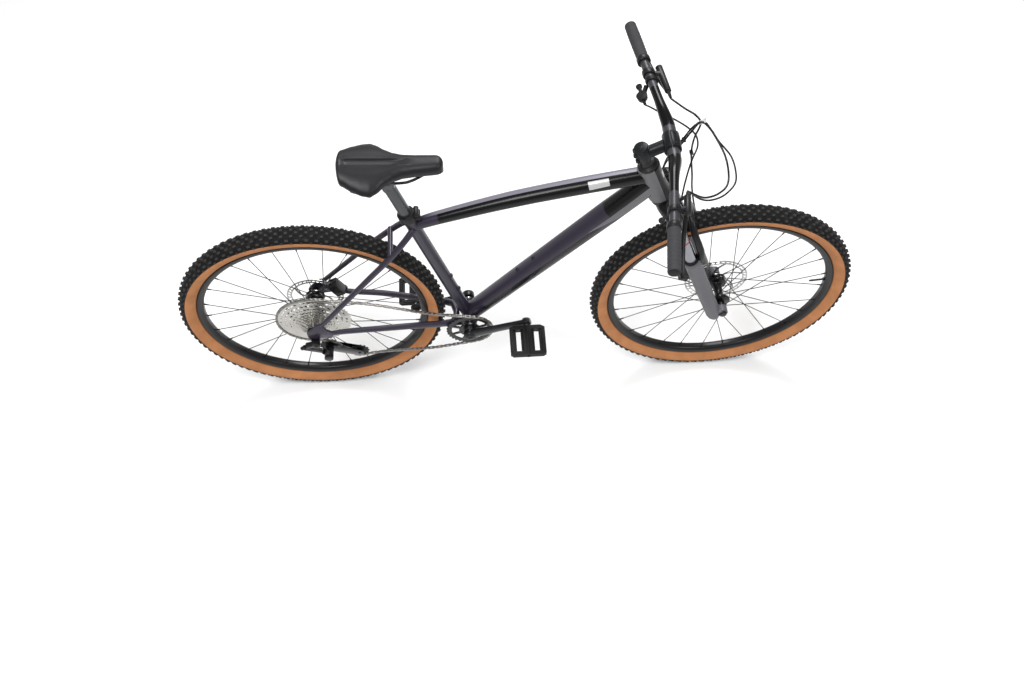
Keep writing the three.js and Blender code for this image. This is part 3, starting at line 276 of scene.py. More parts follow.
@dataclass(frozen=True)
class Finish:
    """A plain finish: its colour drifts a little, and its grain is in the bump and the gloss.

    Numbers of grain and drift are cells a metre.
    """

    name: str
    colour: Point
    rough: float
    metallic: float = 0.0
    coat: float = 0.0
    drift: float = 0.25
    drift_scale: float = 14.0
    grain: float = 0.08
    grain_scale: float = 900.0
    stretch: Point = (1.0, 1.0, 1.0)
    slot: str = "frame_paint"
    shine: float = 0.25

    def tint(self, tree: Tree) -> Value:
        """The base colour over the surface."""
        dark = tuple(part * (1 - self.drift) for part in self.colour)
        light = tuple(min(1.0, part * (1 + self.drift)) for part in self.colour)
        return tree.mix(tree.noise(self.drift_scale, 4.0, self.stretch), dark, light)

    def gloss(self, tree: Tree) -> Value:
        """The roughness over the surface."""
        return tree.noise(self.drift_scale * 6, 3.0, self.stretch) * 0.12 + (self.rough - 0.06)

    def height(self, tree: Tree) -> Value:
        """The height that the bump reads."""
        return tree.noise(self.grain_scale, 3.0, self.stretch)

    def metal(self, tree: Tree) -> Any:
        """How metallic the surface is."""
        return self.metallic

    def clear(self, tree: Tree) -> Any:
        """The weight of the clear coat."""
        return self.coat

    def material(self) -> bpy.types.Material:
        """The finished material, made once."""
        surface = f"{self.name}_surface"
        made = bpy.data.materials.get(surface)
        if made:
            return made
        tree = Tree(surface)
        bump = tree.node(
            "ShaderNodeBump",
            {},
            {"Strength": self.grain, "Distance": 0.001, "Height": self.height(tree)},
        )
        shader = tree.node(
            "ShaderNodeBsdfPrincipled",
            {},
            {
                "Base Color": self.tint(tree),
                "Roughness": self.gloss(tree),
                "Metallic": self.metal(tree),
                "Coat Weight": self.clear(tree),
                "Coat Roughness": 0.12,
                "Specular IOR Level": self.shine,
                "Normal": bump.out(0),
            },
        )
        tree.node("ShaderNodeOutputMaterial", {}, {"Surface": shader.out(0)})
        return tree.material


BLACK_PANEL = srgb(7, 7, 9)
PALE_LABEL = srgb(188, 188, 188)


@dataclass(frozen=True)
class FramePaint(Finish):
    """Satin paint with fine metal flake, to be given panels by the finishes below."""

    second: Point = PALE_LABEL

    def panel(self, tree: Tree) -> Value | None:
        """A mask of the gloss black panels, or None where there are none."""
        return None

    def label(self, tree: Tree) -> Value | None:
        """A mask of the plain areas of the second colour, or None where there are none."""
        return None

    def tint(self, tree: Tree) -> Value:
        """Flaked paint, then the panels, then the labels."""
        flake = tree.noise(2600.0, 0.0).above(0.56, 0.72) * 0.22
        light = tuple(min(1.0, part * 2.2 + 0.02) for part in self.colour)
        paint = tree.mix(flake, Finish.tint(self, tree), light)
        for mask, colour in ((self.panel(tree), BLACK_PANEL), (self.label(tree), self.second)):
            if mask is not None:
                paint = tree.mix(mask, paint, colour)
        return paint

    def gloss(self, tree: Tree) -> Value:
        """The panels are glossier than the paint."""
        plain = Finish.gloss(self, tree)
        mask = self.panel(tree)
        return plain if mask is None else plain - mask * 0.12


@dataclass(frozen=True)
class TopTubePaint(FramePaint):
    """The top tube: long black panels either side of a painted highlight band along its top, and a small
    blank label.
    """

    foot: Vector = field(default_factory=lambda: vec(-268, 0, 736))
    end: Vector = field(default_factory=lambda: vec(318, 0, 890))

    def panel(self, tree: Tree) -> Value:
        """The panel, from just ahead of the seat to the head tube."""
        way = (self.end - self.foot).normalized()
        up = vec(-way.z, 0, way.x)
        length = tree.along(self.foot, way)
        height = tree.along(vec(-21, 0, 817), up)
        # The panel stops short of the top of the tube, where the painted highlight band lies.
        side = 1.0 - tree.y.within(-0.0015, 0.015, 0.0005)
        return height.within(-0.03, 0.03, 0.0012) * side * length.within(0.075, 0.585, 0.006)

    def tint(self, tree: Tree) -> Value:
        """The paint, with a paler band painted along the top between the panels as a highlight, standing
        in for the reflection of the lights.
        """
        # Painted highlight: the top of the tube is coloured paler to stand in for the reflection of the
        # lights on the paint.
        highlight_band = tree.y.within(-0.0015, 0.015, 0.001) * tree.z.above(0.76, 0.78)
        return tree.mix(highlight_band * 0.75, FramePaint.tint(self, tree), srgb(128, 126, 136))

    def label(self, tree: Tree) -> Value:
        """A small blank label on the upper right side near the head."""
        way = (self.end - self.foot).normalized()
        height = tree.along(vec(150, 0, 858), vec(-way.z, 0, way.x))
        patch = tree.along(self.foot, way).within(0.455, 0.505, 0.0006)
        return patch * tree.y.within(-0.03, -0.008, 0.0004) * height.above(0.001, 0.0016)


@dataclass(frozen=True)
class DownTubePaint(FramePaint):
    """The down tube: a black flash along each side, and black over grey near the head tube."""

    foot: Vector = field(default_factory=lambda: vec(-128, 0, 336))
    way: Vector = field(default_factory=lambda: vec(0.655, 0, 0.755))

    def places(self, tree: Tree) -> tuple[Value, Value]:
        """How far along the tube, and how far above its middle."""
        up = vec(-self.way.z, 0, self.way.x)
        return tree.along(self.foot, self.way), tree.along(self.foot, up)

    def panel(self, tree: Tree) -> Value:
        """The flash, and the top of the tube near the head."""
        length, height = self.places(tree)
        flash = height.within(-0.02, 0.01, 0.001) * length.within(0.06, 0.5, 0.02)
        head = length.above(0.555, 0.557) * height.above(0.013, 0.014)
        return flash.larger(head)

    def label(self, tree: Tree) -> Value:
        """Grey low on the sides near the head."""
        length, height = self.places(tree)
        return (length + height * 5.0).above(0.54, 0.542) * (0.014 - height).above(0.0, 0.001)


@dataclass(frozen=True)
class HeadPaint(FramePaint):
    """The head tube: warm matte grey with a black shield at its front and a blank badge on it."""

    def panel(self, tree: Tree) -> Value:
        """The shield on the front of the tube."""
        ahead = tree.along(STEER.foot, vec(STEER.up.z, 0, -STEER.up.x))
        return ahead.above(0.012, 0.0135)

    def label(self, tree: Tree) -> Value:
        """The blank badge in the middle of the shield."""
        ahead = tree.along(STEER.foot, vec(STEER.up.z, 0, -STEER.up.x))
        height = tree.along(STEER.foot, STEER.up)
        return ahead.above(0.0245, 0.025) * height.within(0.566, 0.586, 0.0008)


@dataclass(frozen=True)
class TyreRubber(Finish):
    """Black tread on tan sidewalls, about the axle of its wheel."""

    axle: Vector = field(default_factory=lambda: vec(0, 0, 0))
    tread_start: float = 0.3485
    tan: Point = srgb(188, 128, 84)

    def tread(self, tree: Tree) -> Value:
        """A mask of the tread."""
        return tree.radius_about(self.axle).above(self.tread_start - 0.001, self.tread_start)

    def tint(self, tree: Tree) -> Value:
        """Tan casing with its weave, then the dusty tread."""
        radius = tree.radius_about(self.axle)
        deep = tuple(part * 0.72 for part in self.tan)
        weave = (tree.noise(1500.0, 2.0) * 0.5) + (tree.noise(25.0, 3.0) * 0.5)
        casing = tree.mix(weave.above(0.3, 0.7), deep, self.tan)
        bead = tree.mix(radius.above(0.318, 0.322), srgb(70, 48, 34), casing)
        black = Finish.tint(self, tree)
        dusty = tree.mix(tree.noise(60.0, 4.0).above(0.5, 0.8) * 0.3, black, srgb(60, 58, 56))
        return tree.mix(self.tread(tree), bead, dusty)


@dataclass(frozen=True)
class TurnedMetal(Finish):
    """Metal turned about a line across the bike: fine rings of gloss and height."""

    axle: Vector = field(default_factory=lambda: vec(0, 0, 0))
    pitch: float = 0.0006

    def height(self, tree: Tree) -> Value:
        """Rings about the axle."""
        radius = tree.radius_about(self.axle)
        return (radius * (FULL_TURN / self.pitch) + tree.noise(120.0, 2.0) * 5.0).wave()


@dataclass(frozen=True)
class BrakeTrack(TurnedMetal):
    """A brake rotor: a worn bright track outside a darker carrier."""

    track_start: float = 0.06

    def tint(self, tree: Tree) -> Value:
        """The track shows the pads' rings."""
        radius = tree.radius_about(self.axle)
        rings = (radius * 9000.0 + tree.noise(40.0) * 3.0).wave() * 0.12 + 0.5
        bright = tree.mix(rings, srgb(150, 150, 150), srgb(214, 213, 210))
        return tree.mix(radius.above(self.track_start, self.track_start + 0.001),
                        srgb(150, 150, 152), bright)


@dataclass(frozen=True)
class Skin(Finish):
    """Smooth synthetic leather: fine pebbles and soft creases."""

    def height(self, tree: Tree) -> Value:
        """Pebbles with creases over them."""
        cells = tree.node(
            "ShaderNodeTexVoronoi", {}, {"Vector": tree.place, "Scale": 900.0}
        ).out(0)
        return cells * 0.5 + tree.noise(160.0, 4.0) * 0.5


@dataclass(frozen=True)
class GripRubber(Finish):
    """Soft rubber with a close diamond knurl along the grip."""

    def height(self, tree: Tree) -> Value:
        """Crossing waves along the bar and round it."""
        one = (tree.y * 2400.0 + tree.z * 1400.0).wave()
        two = (tree.y * 2400.0 - tree.z * 1400.0).wave()
        return one.larger(two) + tree.noise(700.0, 2.0) * 0.4


FRAME_COLOUR = srgb(46, 41, 55)
HEAD_GREY = srgb(96, 95, 98)
PAINT = FramePaint("frame_paint", FRAME_COLOUR, 0.4, 0.2, 0.25, 0.12, 6.0, 0.03, 1400.0)
TOP_PAINT = TopTubePaint("top_tube_paint", FRAME_COLOUR, 0.38, 0.2, 0.08, 0.12, 6.0, 0.03, 1400.0)
DOWN_PAINT = DownTubePaint("down_tube_paint", FRAME_COLOUR, 0.4, 0.35, 0.3, 0.12, 6.0, 0.03, 1400.0,
                           second=HEAD_GREY)
HEAD_PAINT = HeadPaint("head_tube_paint", HEAD_GREY, 0.5, 0.25, 0.1, 0.1, 8.0, 0.03, 1400.0)
FORK_PAINT = Finish("fork_paint", srgb(92, 92, 97), 0.5, 0.15, 0.1, 0.12, 9.0, 0.05, 1500.0,
                    slot="fork_paint")
BLACK = Finish("satin_black", srgb(22, 22, 24), 0.4, 0.15, 0.1, 0.3, 20.0, 0.06, slot="satin_black")
GLOSS = Finish("gloss_black", srgb(9, 9, 11), 0.2, 0.2, 0.6, 0.25, 12.0, 0.03, slot="satin_black")
CRANK = Finish("crank_black", srgb(24, 24, 27), 0.3, 0.4, 0.3, 0.35, 25.0, 0.04, slot="satin_black")
DARK_METAL = Finish("dark_anodised", srgb(28, 29, 31), 0.33, 0.5, 0.0, 0.25, 18.0, 0.06, 1800.0,
                    (1.0, 0.2, 1.0), slot="anodised")
POST_METAL = Finish("post_metal", srgb(78, 80, 82), 0.3, 0.7, 0.0, 0.12, 12.0, 0.05, 1800.0,
                    (1.0, 1.0, 0.2), slot="anodised")
SILVER = Finish("plated_steel", srgb(186, 186, 188), 0.22, 0.95, 0.0, 0.14, 25.0, 0.05, 2000.0,
                slot="polished")
CHROME = Finish("stanchion_chrome", srgb(138, 139, 144), 0.2, 1.0, 0.0, 0.06, 16.0, 0.02, 2400.0,
                (0.15, 1.0, 0.15), slot="polished")
CHAIN = Finish("chain_steel", srgb(128, 126, 122), 0.34, 0.9, 0.0, 0.4, 60.0, 0.08, slot="brushed_steel")
PLASTIC = Finish("moulded_black", srgb(8, 8, 9), 0.5, 0.0, 0.0, 0.22, 40.0, 0.14, 1500.0,
                 slot="black_plastic")
GRIP = GripRubber("grip_rubber", srgb(52, 52, 55), 0.72, 0.0, 0.0, 0.22, 40.0, 0.3, slot="grip_rubber")
SADDLE = Skin("saddle_skin", srgb(24, 24, 27), 0.4, 0.0, 0.0, 0.22, 18.0, 0.16, slot="saddle_skin")
HOSE = Finish("hose_black", srgb(9, 9, 10), 0.36, 0.0, 0.2, 0.25, 60.0, 0.08, slot="hose")
RED = Finish("red_ring", srgb(150, 26, 30), 0.5, 0.0, 0.0, 0.2, 60.0, 0.05, slot="grip_rubber")
CLEAR_TIE = Finish("pale_tie", srgb(176, 178, 180), 0.4, 0.0, 0.0, 0.15, 60.0, 0.05, slot="hose")


class Shape:
    """A mesh in the making, in millimetres."""

    def __init__(self) -> None:
        """Starts empty."""
        self.bm = bmesh.new()

    @staticmethod
    def aim(start: Vector, end: Vector) -> Matrix:
        """The matrix that turns local +Z towards end, with its origin at start."""
        turn = vec(0, 0, 1).rotation_difference((end - start).normalized()).to_matrix().to_4x4()
        return Matrix.Translation(start) @ turn

    def _soften(self, verts: Iterable[bmesh.types.BMVert], width: float, segments: int = 2) -> None:
        """Bevels the sharp edges among those vertices."""
        if width <= 0:
            return
        chosen = set(verts)
        edges = [
            edge for edge in self.bm.edges
            if edge.verts[0] in chosen and edge.verts[1] in chosen
            and edge.is_manifold and edge.calc_face_angle(0.0) > 0.7
        ]
        if edges:
            bmesh.ops.bevel(self.bm, geom=edges, offset=width, offset_type="OFFSET", affect="EDGES",
                            segments=segments, profile=0.5, material=-1, clamp_overlap=True)

    def rod(self, start: Vector, end: Vector, radius: float, end_radius: float | None = None,
            sides: int = 20, bevel: float = 0.0) -> "Shape":
        """A round rod or cone between two points.

        Args:
            start: the centre of the first end.
            end: the centre of the other end.
            radius: its radius at the start.
            end_radius: its radius at the end, the same if left out.
            sides: how many sides it has.
            bevel: how far its rims are rounded.

        Returns:
            The shape itself.
        """
        length = (end - start).length
        made = bmesh.ops.create_cone(
            self.bm, cap_ends=True, cap_tris=False, segments=sides, radius1=radius,
            radius2=radius if end_radius is None else end_radius, depth=length,
            matrix=self.aim(start, end) @ Matrix.Translation((0, 0, length / 2)),
        )
        self._soften(made["verts"], bevel)
        return self

    def block(self, centre: Vector, size: Point, turn: Matrix | None = None,
              bevel: float = 0.5, segments: int = 2) -> "Shape":
        """A block with rounded edges.

        Args:
            centre: its middle.
            size: its three sides.
            turn: how it is turned about its middle.
            bevel: how far its edges are rounded.
            segments: the faces across each rounding.

        Returns:
            The shape itself.
        """
        matrix = Matrix.Translation(centre) @ (turn or Matrix.Identity(4)) @ Matrix.Diagonal((*size, 1))
        made = bmesh.ops.create_cube(self.bm, size=1.0, matrix=matrix)
        self._soften(made["verts"], bevel, segments)
        return self

    def turned(self, profile: Profile, start: Vector, end: Vector, steps: int = 48) -> "Shape":
        """A turned piece.

        Args:
            profile: its outline as (radius, distance from start towards end); it closes on itself.
            start: a point on its axis.
            end: another point on its axis.
            steps: how many steps go round it.

        Returns:
            The shape itself.
        """
        verts = [self.bm.verts.new((radius, 0.0, along)) for radius, along in profile]
        edges = [self.bm.edges.new((one, two)) for one, two in zip(verts, verts[1:])]
        if profile[0][0] > 0 or profile[-1][0] > 0:
            edges.append(self.bm.edges.new((verts[-1], verts[0])))
        before = set(self.bm.faces)
        bmesh.ops.spin(self.bm, geom=[*verts, *edges], cent=(0, 0, 0), axis=(0, 0, 1), dvec=(0, 0, 0),
                       angle=FULL_TURN, steps=steps, use_merge=True, use_duplicate=False)
        faces = [face for face in self.bm.faces if face not in before]
        around = list({vert for face in faces for vert in face.verts})
        bmesh.ops.remove_doubles(self.bm, verts=around, dist=1e-4)
        faces = [face for face in self.bm.faces if face not in before]
        bmesh.ops.recalc_face_normals(self.bm, faces=faces)
        around = list({vert for face in faces for vert in face.verts})
        bmesh.ops.transform(self.bm, matrix=self.aim(start, end), verts=around)
        return self

    def plate(self, outline: Sequence[tuple[float, float]], low: float, high: float,
              bevel: float = 0.0) -> "Shape":
        """A plate in the bike's plane from its (x, z) outline, between two y values."""
        verts = [self.bm.verts.new((x, low, z)) for x, z in outline]
        face = self.bm.faces.new(verts)
        made = bmesh.ops.extrude_face_region(self.bm, geom=[face], use_keep_orig=True)
        moved = [item for item in made["geom"] if isinstance(item, bmesh.types.BMVert)]
        bmesh.ops.translate(self.bm, verts=moved, vec=(0, high - low, 0))
        everything = {item for vert in [*verts, *moved] for item in vert.link_faces}
        bmesh.ops.recalc_face_normals(self.bm, faces=list(everything))
        self._soften([*verts, *moved], bevel)
        return self

    def circle(self, sides: int, radius: float) -> list[bmesh.types.BMVert]:
        """A ring of vertices about +Z, in order round it."""
        made = bmesh.ops.create_circle(self.bm, cap_ends=False, segments=sides, radius=radius)["verts"]
        return sorted(made, key=lambda vert: math.atan2(vert.co.y, vert.co.x))

    def loft(self, stations: Sequence[Station], sides: int = 24, power: float = 2.0,
             between: int = 4, across: Vector | None = None) -> "Shape":
        """A tube of changing oval section along a smooth line, with both ends closed.

        Args:
            stations: points with their half height and half width.
            sides: how many sides the section has.
            power: 2 for an oval, more for a squarer section.
            between: rings from each station to the next.
            across: the direction of the width, +Y if left out.

        Returns:
            The shape itself.
        """
        wide_way = across or vec(0, 1, 0)
        line = smooth_line([station[0] for station in stations], between)
        rings = []
        for index, point in enumerate(line):
            at = index / between
            low = min(int(at), len(stations) - 2)
            share = at - low
            tall, wide = (
                stations[low][part] * (1 - share) + stations[low + 1][part] * share for part in (1, 2)
            )
            ahead = line[min(index + 1, len(line) - 1)] - line[max(index - 1, 0)]
            ahead.normalize()
            side = (wide_way - ahead * wide_way.dot(ahead)).normalized()
            up = side.cross(ahead)
            made = self.circle(sides, 1.0)
            for vert in made:
                one, two = vert.co.x, vert.co.y
                reach = (abs(one) ** power + abs(two) ** power) ** (-1 / power)
                vert.co = point + up * (one * reach * tall) + side * (two * reach * wide)
            rings.append(made)
        self._skin(rings)
        return self

    def _skin(self, rings: Sequence[Sequence[bmesh.types.BMVert]]) -> None:
        """Bridges rings into a closed tube."""
        count = len(rings[0])
        before = set(self.bm.faces)
        for near, far in zip(rings, rings[1:]):
            edges = [self.bm.edges.get((ring[i], ring[(i + 1) % count]))
                     for ring in (near, far) for i in range(count)]
            bmesh.ops.bridge_loops(self.bm, edges=edges)
        self.bm.faces.new(rings[0])
        self.bm.faces.new(rings[-1])
        made = [face for face in self.bm.faces if face not in before]
        bmesh.ops.recalc_face_normals(self.bm, faces=made)

    def strand(self, points: Sequence[Vector], radius: float, sides: int = 12,
               between: int = 4) -> "Shape":
        """A round cord of even thickness along a smooth line."""
        across = vec(0.31, 0.9, 0.3)
        return self.loft([(point, radius, radius) for point in points], sides, 2.0, between, across)

    def toothed(self, centre: Vector, teeth: int, pitch: float, inner: float, thick: float,
                tooth: float = 3.6) -> "Shape":
        """A toothed ring across the bike.

        Args:
            centre: the middle of the ring.
            teeth: how many teeth it has.
            pitch: the radius that the chain's pins run on.
            inner: its inner radius.
            thick: its thickness.
            tooth: the height of a tooth from its root.

        Returns:
            The shape itself.
        """
        count = 4 * teeth
        turn = Matrix.Rotation(math.pi / 2, 4, "X")
        heights = (tooth, tooth, 0.0, 0.0)
        loops = []
        for radius in (pitch, inner):
            verts = self.circle(count, radius)
            bmesh.ops.transform(self.bm, matrix=turn, verts=verts)
            loops.append(verts)
        for index, vert in enumerate(loops[0]):
            reach = pitch - 2.0 + heights[index % 4]
            vert.co = vert.co.normalized() * reach
        edges = [self.bm.edges.get((loop[i], loop[(i + 1) % count])) for loop in loops
                 for i in range(count)]
        faces = bmesh.ops.bridge_loops(self.bm, edges=edges)["faces"]
        made = bmesh.ops.extrude_face_region(self.bm, geom=faces, use_keep_orig=True)
        moved = [item for item in made["geom"] if isinstance(item, bmesh.types.BMVert)]
        bmesh.ops.translate(self.bm, verts=moved, vec=(0, thick, 0))
        around = [*loops[0], *loops[1], *moved]
        shell = list({face for vert in around for face in vert.link_faces})
        bmesh.ops.recalc_face_normals(self.bm, faces=shell)
        bmesh.ops.translate(self.bm, verts=around, vec=centre - vec(0, thick / 2, 0))
        return self

    def repeated(self, centre: Vector, count: int) -> "Shape":
        """Copies all that is there so far round a line through centre across the bike."""
        geom = [*self.bm.verts, *self.bm.edges, *self.bm.faces]
        bmesh.ops.spin(self.bm, geom=geom, cent=centre, axis=(0, 1, 0), dvec=(0, 0, 0),
                       angle=FULL_TURN * (count - 1) / count, steps=count - 1, use_merge=False,
                       use_duplicate=True)
        return self

    def taken(self, node: str, bevel: float = 0.6) -> "Shape":
        """A merged copy of a CAD node, with its sharp edges rounded by bevel."""
        copy = bmesh.new()
        copy.from_mesh(frame["nodes"][node].data)
        bmesh.ops.scale(copy, vec=(1 / MM, 1 / MM, 1 / MM), verts=copy.verts)
        bmesh.ops.remove_doubles(copy, verts=copy.verts, dist=2e-3)
        bmesh.ops.dissolve_limit(copy, angle_limit=math.radians(1.5), verts=copy.verts,
                                 edges=copy.edges, use_dissolve_boundaries=False)
        held = bpy.data.meshes.new("held")
        copy.to_mesh(held)
        copy.free()
        before = set(self.bm.verts)
        self.bm.from_mesh(held)
        bpy.data.meshes.remove(held)
        self._soften([vert for vert in self.bm.verts if vert not in before], bevel)
        return self

    def done(self, name: str, body: str, finish: Finish, replaces: Sequence[str] = (),
             flat: bool = False) -> bpy.types.Object:
        """Writes the piece in metres, dresses it and lets it ride on its body.

        Args:
            name: the piece's name.
            body: the CAD body that it moves with.
            finish: its finish.
            replaces: the CAD nodes that it stands for.
            flat: whether its faces stay flat, as on cast tread blocks.

        Returns:
            The piece.
        """
        bmesh.ops.scale(self.bm, vec=(MM, MM, MM), verts=self.bm.verts)
        mesh = bpy.data.meshes.new(name)
        self.bm.to_mesh(mesh)
        self.bm.free()
        mesh.materials.append(finish.material())
        mesh.shade_smooth()
        mesh.set_sharp_from_angle(angle=math.radians(12.0 if flat else SHARP_ANGLE))
        piece = bpy.data.objects.new(name, mesh)
        bpy.context.scene.collection.objects.link(piece)
        if replaces:
            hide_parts(*replaces)
        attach(piece, body)
        LOG.info("%s: %d faces on %s", name, len(mesh.polygons), body)
        return piece


def smooth_line(points: Sequence[Vector], between: int) -> list[Vector]:
    """A smooth line through points, with so many steps from each to the next."""
    line = []
    last = len(points) - 1
    for index in range(last):
        before, near = points[max(index - 1, 0)], points[index]
        far, after = points[index + 1], points[min(index + 2, last)]
        for step in range(between):
            t = step / between
            line.append(
                0.5 * (2 * near + (far - before) * t
                       + (2 * before - 5 * near + 4 * far - after) * t * t
                       + (3 * near - before - 3 * far + after) * t * t * t)
            )
    line.append(points[last].copy())
    return line


class Side(Enum):
    """A side of the bike, as the sign of its y."""

    RIGHT = -1
    LEFT = 1

    @property
    def word(self) -> str:
        """The side's name in lower case."""
        return self.name.lower()


SIDES = (Side.RIGHT, Side.LEFT)


@dataclass
class Frameset:
    """The frame: main tubes, stays, dropouts, clamp and the small things fastened to them."""

    top: tuple[tuple[Point, float, float], ...] = (
        ((-262, 0, 738.5), 14, 14), ((-190, 0, 766), 15.5, 17), ((-21, 0, 818), 18, 20),
        ((150, 0, 858), 19, 21), ((306, 0, 888), 21, 20), ((318, 0, 890), 22, 20),
    )
    down: tuple[tuple[Point, float, float], ...] = (
        ((-128, 0, 336), 22, 26), ((61, 0, 558), 26, 28), ((230, 0, 757), 28.5, 29),
        ((322, 0, 863), 29, 24),
    )
    seatstay: tuple[tuple[Point, float, float], ...] = (
        ((-266, -12, 735), 8, 9), ((-290, -31, 712), 8, 8.5), ((-334, -46, 660), 8, 8),
        ((-400, -57, 584), 7.5, 7.5), ((-469, -66, 500), 7, 7), ((-541, -76, 412), 7, 4.4),
    )
    chainstay: tuple[tuple[Point, float, float], ...] = (
        ((-530, -76, 366), 9, 4.5), ((-474, -67, 360), 9, 7), ((-385, -60, 354), 9, 8),
        ((-290, -48, 341), 11, 8), ((-225, -40.5, 332), 12.5, 7.5), ((-160, -27, 319), 14, 10),
    )
    bridge: tuple[Point, Point] = ((-331, -46, 671), (-331, 46, 671))
    head_low: float = 499.5
    head_high: float = 613.0
    seat_top: float = 476.0

    @staticmethod
    def stations(rows: Sequence[tuple[Point, float, float]], sign: float = 1) -> list[Station]:
        """Rows as stations, on either side of the bike."""
        return [(vec(x, y * sign, z), tall, wide) for (x, y, z), tall, wide in rows]

    def head_tube(self) -> None:
        """The head tube with its flared lower cup and rolled ends."""
        length = self.head_high - self.head_low
        shape = Shape().turned(
            [(23.5, 0.5), (24, 0), (29.4, 0), (30, 0.6), (30, 12), (28.4, 26), (27, 40),
             (27, length - 16), (28, length - 6), (28, length - 0.6), (27.4, length), (21.5, length),
             (20.8, length - 0.6), (20.8, 30), (23.5, 20)],
            STEER.at(0, 0, self.head_low), STEER.at(0, 0, self.head_high), 56)
        shape.done("head_tube_shell", "frame", HEAD_PAINT, ["head_tube"])

    def main_tubes(self) -> None:
        """The top tube, the down tube with its bottle bosses, and the bottle bolts."""
        Shape().loft(self.stations(self.top), 32, 2.6, 8).done(
            "top_tube_shell", "frame", TOP_PAINT, ["top_tube"])
        shape = Shape().loft(self.stations(self.down), 36, 2.5, 10)
        way = (vec(61, 0, 558) - vec(-128, 0, 336)).normalized()
        up = vec(-way.z, 0, way.x)
        for along in (222, 286):
            foot = vec(-128, 0, 336) + way * along
            shape.rod(foot + up * 22.5, foot + up * 28, 6, sides=20, bevel=0.5)
        shape.done("down_tube_shell", "frame", DOWN_PAINT, ["down_tube"])
        bolts = Shape()
        for along in (222, 286):
            foot = vec(-128, 0, 336) + way * along
            self.bolt(bolts, foot + up * 27.9, up, 4.4, 1.8)
        for along in (140, 204):
            self.bolt(bolts, SEAT.at(19.4, 0, along), vec(SEAT.up.z, 0, -SEAT.up.x), 4.4, 1.8)
        bolts.done("bottle_bolts", "frame", BLACK)

    @staticmethod
    def bolt(shape: Shape, foot: Vector, way: Vector, radius: float, height: float) -> None:
        """A button-head bolt with its hexagon socket, standing on foot."""
        shape.turned([(0, 0), (radius, 0), (radius, height * 0.35), (radius * 0.8, height * 0.8),
                      (radius * 0.55, height), (radius * 0.42, height), (radius * 0.42, height * 0.3),
                      (0, height * 0.3)], foot, foot + way, 12)

    def seat_cluster(self) -> None:
        """The seat tube, the bottom bracket shell and the bosses on the tube."""
        shape = Shape().turned([(16.3, 9), (17.4, 9), (17.4, self.seat_top - 14),
                                (18.4, self.seat_top - 10), (18.4, self.seat_top - 0.5),
                                (17.9, self.seat_top), (16.3, self.seat_top)],
                               SEAT.at(0, 0, 0), SEAT.at(0, 0, 1), 48)
        for along in (140, 204):
            shape.rod(SEAT.at(16.5, 0, along), SEAT.at(19.5, 0, along), 6, sides=20, bevel=0.4)
        x, z = BOTTOM_BRACKET.x, BOTTOM_BRACKET.z
        shape.turned([(17, 0), (20, 0), (21, 1), (21, 72), (20, 73), (17, 73)],
                     vec(x, -36.5, z), vec(x, 36.5, z), 48)
        shape.done("seat_tube_shell", "frame", PAINT, ["seat_tube"])
        cups = Shape()
        for sign in (-1, 1):
            cups.turned([(13.2, 0), (18, 0), (22, 1.5), (22, 9), (20, 10.5), (13.2, 10.5)],
                        vec(x, sign * 36.6, z), vec(x, sign * 60, z), 40)
        cups.done("bottom_bracket_cups", "frame", BLACK)
        self.bracket_fillet()

    def bracket_fillet(self) -> None:
        """The rounded web between the two tubes, just above the bottom bracket."""
        web = Shape()
        web.loft([(SEAT.at(13, 0, 28), 4, 10), (SEAT.at(21, 0, 34), 10, 13),
                  (SEAT.at(30, 0, 30), 14, 14), (SEAT.at(40, 0, 18), 12, 14)], 20, 2.4, 4)
        web.done("bracket_fillet", "frame", PAINT)

    def stays(self) -> None:
        """Chainstays and seatstays with dropouts, yoke and bridge."""
        low = Shape()
        high = Shape()
        x, z = REAR_AXLE.x, REAR_AXLE.z
        outline = [(x - 17, z - 8), (x - 12, z - 20), (x + 8, z - 22), (x + 52, z - 14), (x + 56, z + 4),
                   (x + 38, z + 20), (x + 30, z + 46), (x + 14, z + 44), (x - 8, z + 18),
                   (x - 17, z + 8)]
        for side in SIDES:
            sign = -side.value
            low.loft(self.stations(self.chainstay, sign), 20, 2.3, 6)
            high.loft(self.stations(self.seatstay, sign), 20, 2.2, 6)
            y = side.value
            low.plate(outline, *sorted((y * 74, y * 80)), bevel=1.0)
        low.loft([(vec(-186, -34, 325), 13, 9), (vec(-176, 0, 321), 15, 9), (vec(-186, 34, 325), 13, 9)],
                 20, 2.4, 6, vec(1, 0, 0))
        low.plate([(x + 56, z + 2), (x + 92, z + 2), (x + 88, z + 12), (x + 50, z + 18)], 70.5, 77, 0.8)
        low.done("chainstay_pair", "frame", PAINT, ["chainstays"])
        start, end = (vec(*point) for point in self.bridge)
        high.rod(start, end, 7, sides=20)
        high.done("seatstay_pair", "frame", PAINT, ["seatstays"])

    def clamp(self) -> None:
        """The seat clamp with its slot and bolt."""
        shape = Shape().taken("seat_clamp", 0.7)
        top = self.seat_top
        shape.rod(SEAT.at(0, 0, top - 1), SEAT.at(0, 0, top + 23), 23.5, 22.4, 48, 1.4)
        for rise in (4.5, 17.0):
            shape.rod(SEAT.at(26, -14, top + rise), SEAT.at(26, 14, top + rise), 6.8, sides=24,
                      bevel=1.2)
            self.bolt(shape, SEAT.at(26, -14, top + rise), vec(0, -1, 0), 4.2, 2.4)
        shape.done("seat_clamp_body", "frame", BLACK, ["seat_clamp"])

    def build(self) -> None:
        """Builds the whole frame."""
        self.head_tube()
        self.main_tubes()
        self.seat_cluster()
        self.stays()
        self.clamp()
        Shape().taken("rear_axle", 0.6).done("rear_thru_axle", "frame", BLACK, ["rear_axle"])


